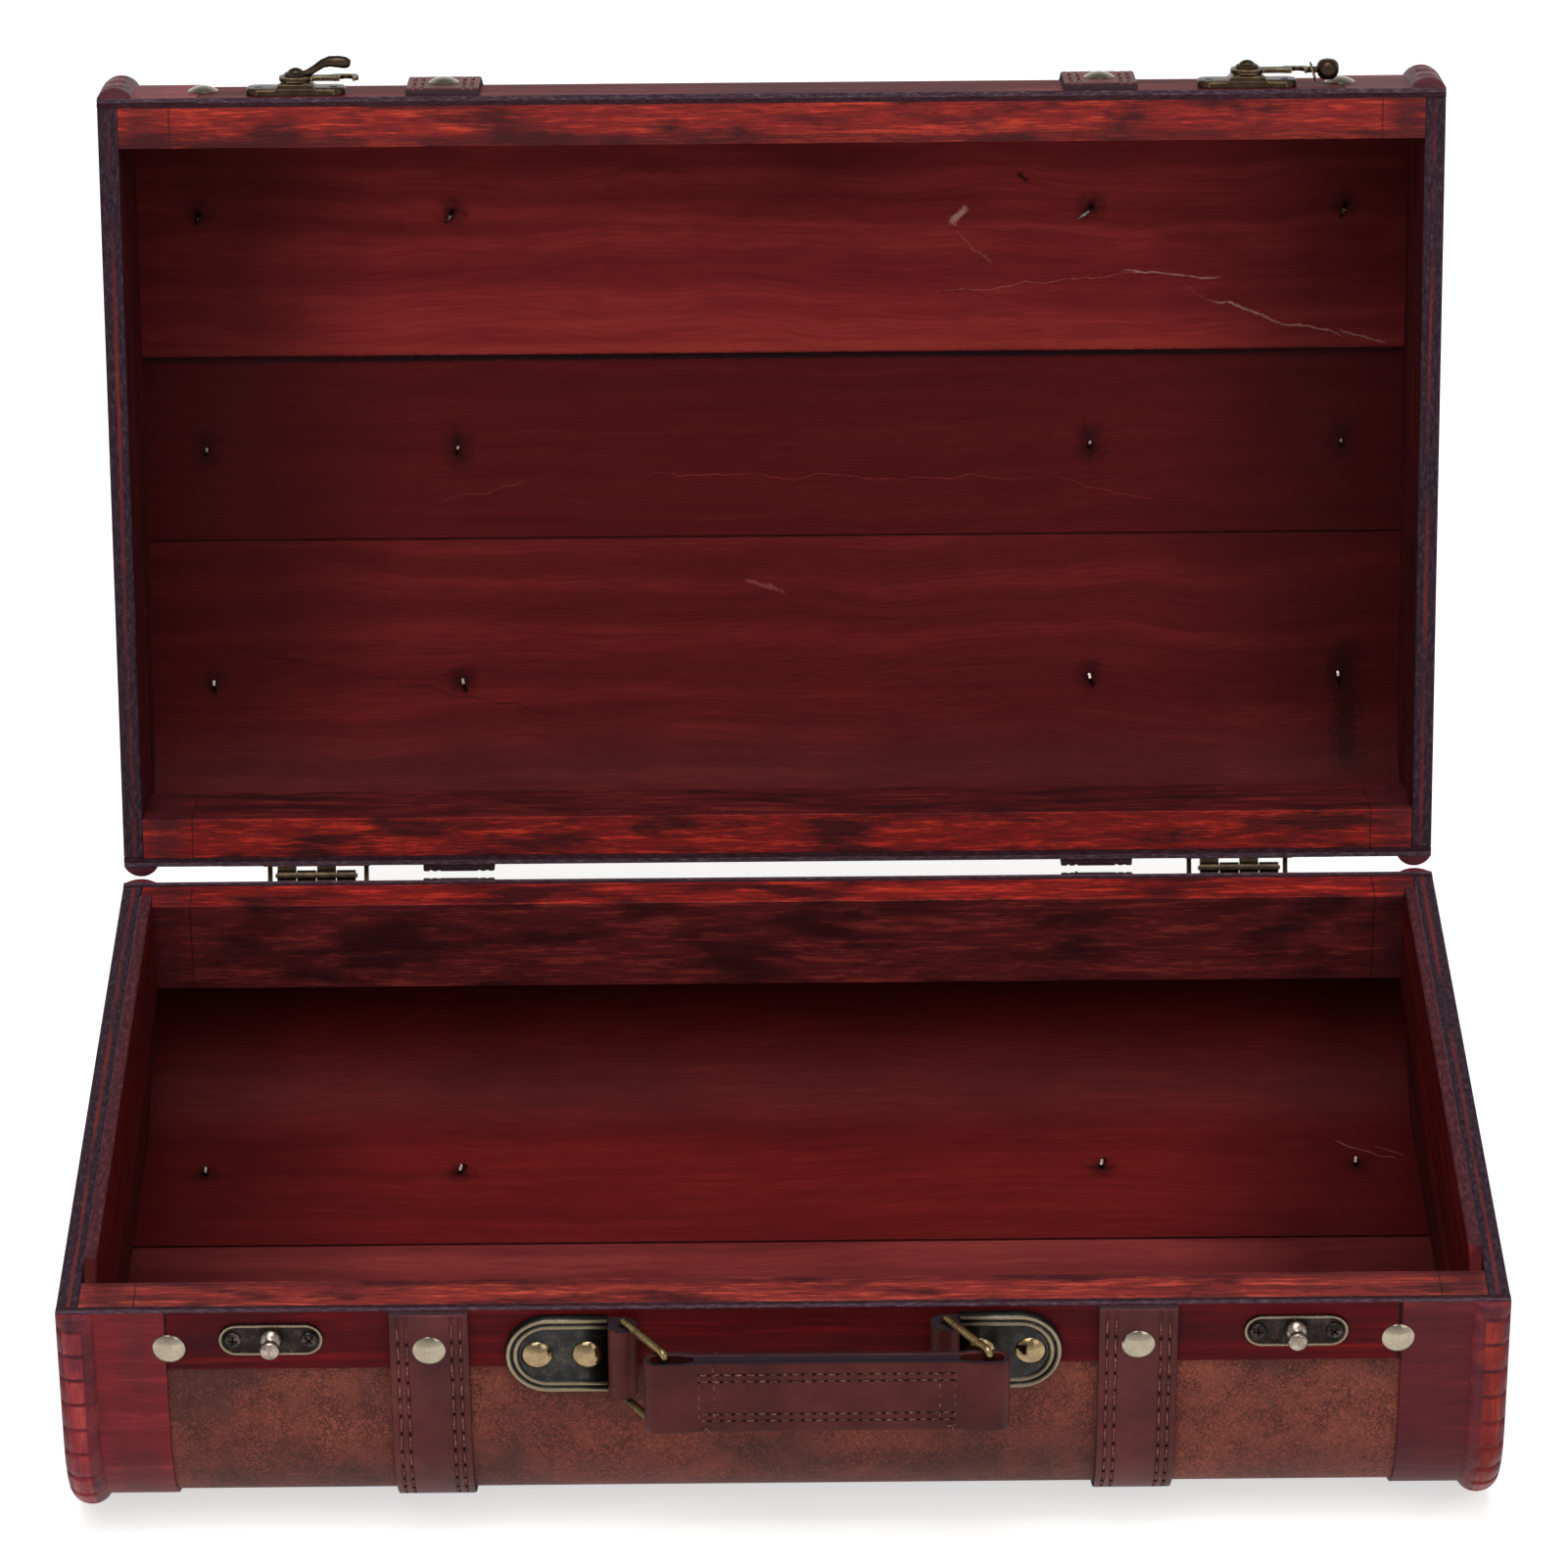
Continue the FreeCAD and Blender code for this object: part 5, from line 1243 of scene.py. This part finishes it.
makeHandle()
dress("handle_inner_leather", handleEdge)
for side in ("left", "right"):
    tab = dress("handle_tab_%s" % side, shadedHandleLeather, handleEdge, 0.0004)
    for face in tab.data.polygons:
        if abs(face.normal.z) > 0.9:
            face.material_index = 1
print("handle sewn")


hardware = {
    "hinge_base_leaves": 0.00015, "hinge_lid_leaves": 0.00015, "hinge_stays": 0.00025, "hinge_pins": 0.0003,
    "hinge_base_screws": 0.0002, "hinge_lid_screws": 0.0002, "clasp_rivets": 0.0002,
    "handle_ring_left": 0.0003, "handle_ring_right": 0.0003,
}
for node, wide in hardware.items():
    ring = node.startswith("handle_ring")
    dress(node, brass["ring" if ring else "bronze"], None if ring else brass["worn"], wide)

claspPiece = {
    "place": 116.5, "up": 5.0, "long": 24.2, "tall": 7.4, "thick": 1.8, "round": 2.6, "crown": 0.4,
    "bossFoot": 4.9, "bossTop": 3.3, "bossHigh": 3.2, "bossEnd": 0.3,
    "line": 0.24, "lineIn": 2.6, "pin": 9.2, "pinWide": 2.6,
}


def makeClaspPlates():
    # pressed plate with rounded corners, sloping boss, and a rubbed line drawn round its side wall
    d = claspPiece
    bm = bmesh.new()
    for sign in (-1, 1):
        middle = sign * d["place"]
        outer = []
        across, down = d["long"] / 2 - d["round"], d["tall"] / 2 - d["round"]
        for quarter, (fx, fh) in enumerate(((1, 1), (-1, 1), (-1, -1), (1, -1))):
            outer += arc(middle + fx * across, d["up"] + fh * down, d["round"],
                         90 * quarter, 90 * quarter + 90, 6)
        base = bm.faces.new([bm.verts.new((x, -0.02, h)) for (x, h), out in outer])
        raised = bmesh.ops.extrude_face_region(bm, geom=[base])["geom"]
        bmesh.ops.translate(bm, vec=(0, -d["thick"], 0), verts=pick(raised, BMVert))
        rim = [edge for top in pick(raised, BMFace) for edge in top.edges]
        bmesh.ops.bevel(bm, geom=rim, offset=d["crown"], segments=3, profile=0.5, affect="EDGES", material=-1)
        foot, crest, thick, high = d["bossFoot"], d["bossTop"], d["thick"], d["bossHigh"]
        slope = [(-foot, -thick + 0.4), (-foot, -thick), (-foot + 0.5, -thick - 0.25),
                 (-crest - 0.3, -high + 0.2), (-crest, -high)]
        hat = slope + [(-x, y) for x, y in slope[::-1]]
        half, ease = d["tall"] / 2 - 0.1, d["bossEnd"]
        stages = []
        for along, drop in ((-half, ease), (-half + ease, 0.0), (half - ease, 0.0), (half, ease)):
            stages.append(lambda x, y, h=d["up"] + along, drop=drop, middle=middle: (
                middle + x * (1 - drop * 0.06), y + drop * (y < -thick), h))
        drawAlong(bm, hat, stages)
        end = d["long"] / 2 - d["lineIn"]
        wall = d["up"] - d["tall"] / 2 - 0.05
        line = [(-end, -0.35), (-end, -1.3), (-foot - 0.2, -1.4), (-crest - 0.7, -2.75), (crest + 0.7, -2.75),
                (foot + 0.2, -1.4), (end, -1.3), (end, -0.35)]
        rings = tube(bm, [(middle + x, y, wall) for x, y in line], [d["line"]] * len(line), 6)
        for ring in rings:
            for v in ring:
                for face in v.link_faces:
                    face.material_index = 1
        for turn in (-1, 1):
            lathe(bm, [(0, 0.12), (d["pinWide"] / 2 - 0.3, 0.1), (d["pinWide"] / 2, -0.1)],
                  (middle + turn * d["pin"], -d["thick"], d["up"]), (0, -1, 0), 20)
    placeMesh(bm, "lid")
    obj = makeObject(bm, "clasp_plates_pressed", "lid", [brass["bronze"], brass["worn"]])
    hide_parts("clasp_plates")


makeClaspPlates()

hookPiece = {
    "place": 116.5, "up": 5.0, "low": 3.3, "thick": 1.2, "ease": 0.25, "disc": 4.15, "arm": 1.7,
    "reach": 12.4, "slot": 1.5, "slotDeep": 2.2, "wall": 1.25, "hub": 2.8, "hubHigh": 0.9,
    "finger": [(1.6, 4.6, 1.0), (3.0, 5.1, 0.95), (4.8, 6.2, 0.95), (6.6, 7.4, 1.1), (8.4, 7.95, 1.35),
               (10.6, 7.85, 1.5), (12.2, 7.6, 1.45), (13.1, 7.4, 1.1), (13.5, 7.3, 0.6)],
    "neckEnd": 17.6, "neck": 0.8, "knobPlace": 19.8,
    "knob": [(0, 6.55), (1.1, 6.5), (2.0, 6.15), (2.6, 5.4), (2.75, 4.6), (2.7, 3.4), (2.3, 2.3),
             (1.5, 1.6), (0, 1.5)],
}


def makeHook(side):
    # slotted swing hook on its hub; the left ends in a thumb finger, the right in a bun knob
    d = hookPiece
    middle = d["place"] * (-1 if side == "left" else 1)
    bm = bmesh.new()
    reach, up, slot, arm = d["reach"], d["up"], d["slot"], d["arm"]
    tip = reach + slot + d["wall"]
    start = math.degrees(math.asin(arm / d["disc"]))
    head = reach - slot - d["wall"]
    points = [p for p, out in arc(0, 0, d["disc"], start, 360 - start, 20)]
    points += [(head - 1.6, -arm), (head, -d["slotDeep"]), (reach - slot, -d["slotDeep"])]
    points += [p for p, out in arc(reach, 0, slot, 180, 0, 8)]
    points += [(reach + slot, -d["slotDeep"]), (tip - 0.4, -d["slotDeep"])]
    points += [p for p, out in arc(tip - 1.1, 0.4, 1.4, -60, 60, 6, 2.3)]
    points += [(head, slot + d["wall"]), (head - 1.6, arm)]
    low = [bm.verts.new((middle + x, -d["low"], up + h)) for x, h in points]
    face = bm.faces.new(low)
    raised = bmesh.ops.extrude_face_region(bm, geom=[face])["geom"]
    bmesh.ops.translate(bm, vec=(0, -d["thick"], 0), verts=pick(raised, BMVert))
    sharp = [e for e in bm.edges if len(e.link_faces) == 2 and e.calc_face_angle() > 1.0]
    eased = bmesh.ops.bevel(bm, geom=sharp, offset=d["ease"], segments=2, profile=0.5,
                            affect="EDGES", material=-1)
    for worn in eased["faces"]:
        worn.material_index = 1
    top = d["low"] + d["thick"]
    hub, high = d["hub"], d["hubHigh"]
    lathe(bm, [(0, high), (hub - 0.4, high), (hub, high - 0.3), (hub, -0.2)], (middle, -top, up), (0, -1, 0))
    if side == "left":
        spine = [(middle + x, -h, up) for x, h, r in d["finger"]]
        tube(bm, spine, [r for x, h, r in d["finger"]], 14)
    else:
        y = -d["low"] - d["thick"] / 2
        tube(bm, [(middle + tip - 0.4, y, up), (middle + d["neckEnd"], y, up)], [d["neck"]] * 2, 16)
        lathe(bm, d["knob"], (middle + d["knobPlace"], 0, up), (0, -1, 0), 36)
    placeMesh(bm, "lid")
    obj = makeObject(bm, "hook_%s_cast" % side, "hook_" + side,
                     [brass["bronze"], brass["worn"]])
    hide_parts("hook_" + side)


for side in ("left", "right"):
    makeHook(side)
dress("hook_wire_ring", brass["worn"], None, 0.00005)
print("metalwork finished")


studio = {
    "floor": "#dddcda", "floorGlow": 0.62, "fill": 0.45, "ceiling": 0.25,
    "key": (-0.5, -1.1, 2.1, 1.3, 16.0), "side": (1.1, -1.3, 1.3, 1.0, 4.5),
    "top": (0.1, -0.35, 2.0, 1.1, 19.0),
    "camera": (-0.0039, -1.3909, 0.89865), "down": 28.988, "yaw": -0.220, "roll": -0.393, "lens": 152.556,
}


def makeFloor():
    bm = bmesh.new()
    bmesh.ops.create_grid(bm, x_segments=1, y_segments=1, size=6.0)
    mesh = bpy.data.meshes.new("floor")
    bm.to_mesh(mesh)
    bm.free()
    floor = bpy.data.objects.new("floor", mesh)
    bpy.context.collection.objects.link(floor)
    material, tree = newMaterial("pale_paper")
    rays = addNode(tree, "LightPath")
    seen = addNode(tree, "Math", {0: rays.outputs["Is Camera Ray"], 1: rays.outputs["Is Glossy Ray"]},
                   operation="MAXIMUM")
    seen = addNode(tree, "Math", {0: seen, 1: rays.outputs["Is Transmission Ray"]}, operation="MAXIMUM")
    glow = addNode(tree, "Math", {0: seen, 1: studio["floorGlow"]}, operation="MULTIPLY")
    paper = addNode(tree, "BsdfDiffuse", {"Color": colour(studio["floor"])})
    light = addNode(tree, "Emission", {"Color": (1, 1, 1, 1), "Strength": glow})
    both = addNode(tree, "AddShader", {0: paper, 1: light})
    addNode(tree, "OutputMaterial", {"Surface": both})
    mesh.materials.append(material)


def makeWorld():
    world = bpy.data.worlds.new("studio")
    bpy.context.scene.world = world
    world.use_nodes = True
    tree = world.node_tree
    tree.nodes.clear()
    rays = addNode(tree, "LightPath")
    # metal sees the white backdrop low down and a dim ceiling above it
    height = addNode(tree, "SeparateXYZ", {
        "Vector": addNode(tree, "TexCoord").outputs["Generated"]}).outputs["Z"]
    ceiling = addNode(tree, "MapRange", {
        "Value": height, "From Min": 0.1, "From Max": 0.75,
        "To Min": 1.0, "To Max": studio["ceiling"]})
    glossy = addNode(tree, "Math", {0: rays.outputs["Is Glossy Ray"], 1: ceiling}, operation="MULTIPLY")
    seen = addNode(tree, "Math", {0: rays.outputs["Is Camera Ray"], 1: rays.outputs["Is Transmission Ray"]},
                   operation="MAXIMUM")
    seen = addNode(tree, "Math", {0: seen, 1: glossy}, operation="MAXIMUM")
    fill = addNode(tree, "Math", {0: rays.outputs["Is Diffuse Ray"], 1: studio["fill"]},
                   operation="MULTIPLY")
    strength = addNode(tree, "Math", {0: seen, 1: fill}, operation="MAXIMUM")
    back = addNode(tree, "Background", {"Color": (1, 1, 1, 1), "Strength": strength})
    addNode(tree, "OutputWorld", {"Surface": back})


def makeLamp(name, place):
    x, y, z, size, power = place
    lamp = bpy.data.lights.new(name, "AREA")
    lamp.size = size
    lamp.energy = power
    obj = bpy.data.objects.new(name, lamp)
    bpy.context.collection.objects.link(obj)
    obj.location = (x, y, z)
    aim = Vector((0, 0, 0.1)) - Vector((x, y, z))
    obj.rotation_euler = aim.to_track_quat("-Z", "Y").to_euler()


def makeCamera():
    down, yaw, roll = (math.radians(studio[k]) for k in ("down", "yaw", "roll"))
    ahead = Vector((-math.sin(yaw) * math.cos(down), math.cos(yaw) * math.cos(down), -math.sin(down)))
    right = Vector((math.cos(yaw), math.sin(yaw), 0))
    up = right.cross(ahead)
    rolledRight = right * math.cos(roll) + up * math.sin(roll)
    rolledUp = up * math.cos(roll) - right * math.sin(roll)
    turn = Matrix((rolledRight, rolledUp, -ahead)).transposed()
    lens = bpy.data.cameras.new("camera")
    lens.sensor_fit = "HORIZONTAL"
    lens.sensor_width = 36
    lens.lens = studio["lens"]
    lens.clip_start = 0.05
    lens.clip_end = 20
    camera = bpy.data.objects.new("camera", lens)
    bpy.context.collection.objects.link(camera)
    camera.matrix_world = Matrix.Translation(studio["camera"]) @ turn.to_4x4()
    bpy.context.scene.camera = camera


makeFloor()
makeWorld()
for lampName in ("key", "side", "top"):
    makeLamp(lampName, studio[lampName])
makeCamera()
bpy.context.scene.view_settings.view_transform = "Standard"
print("studio set")
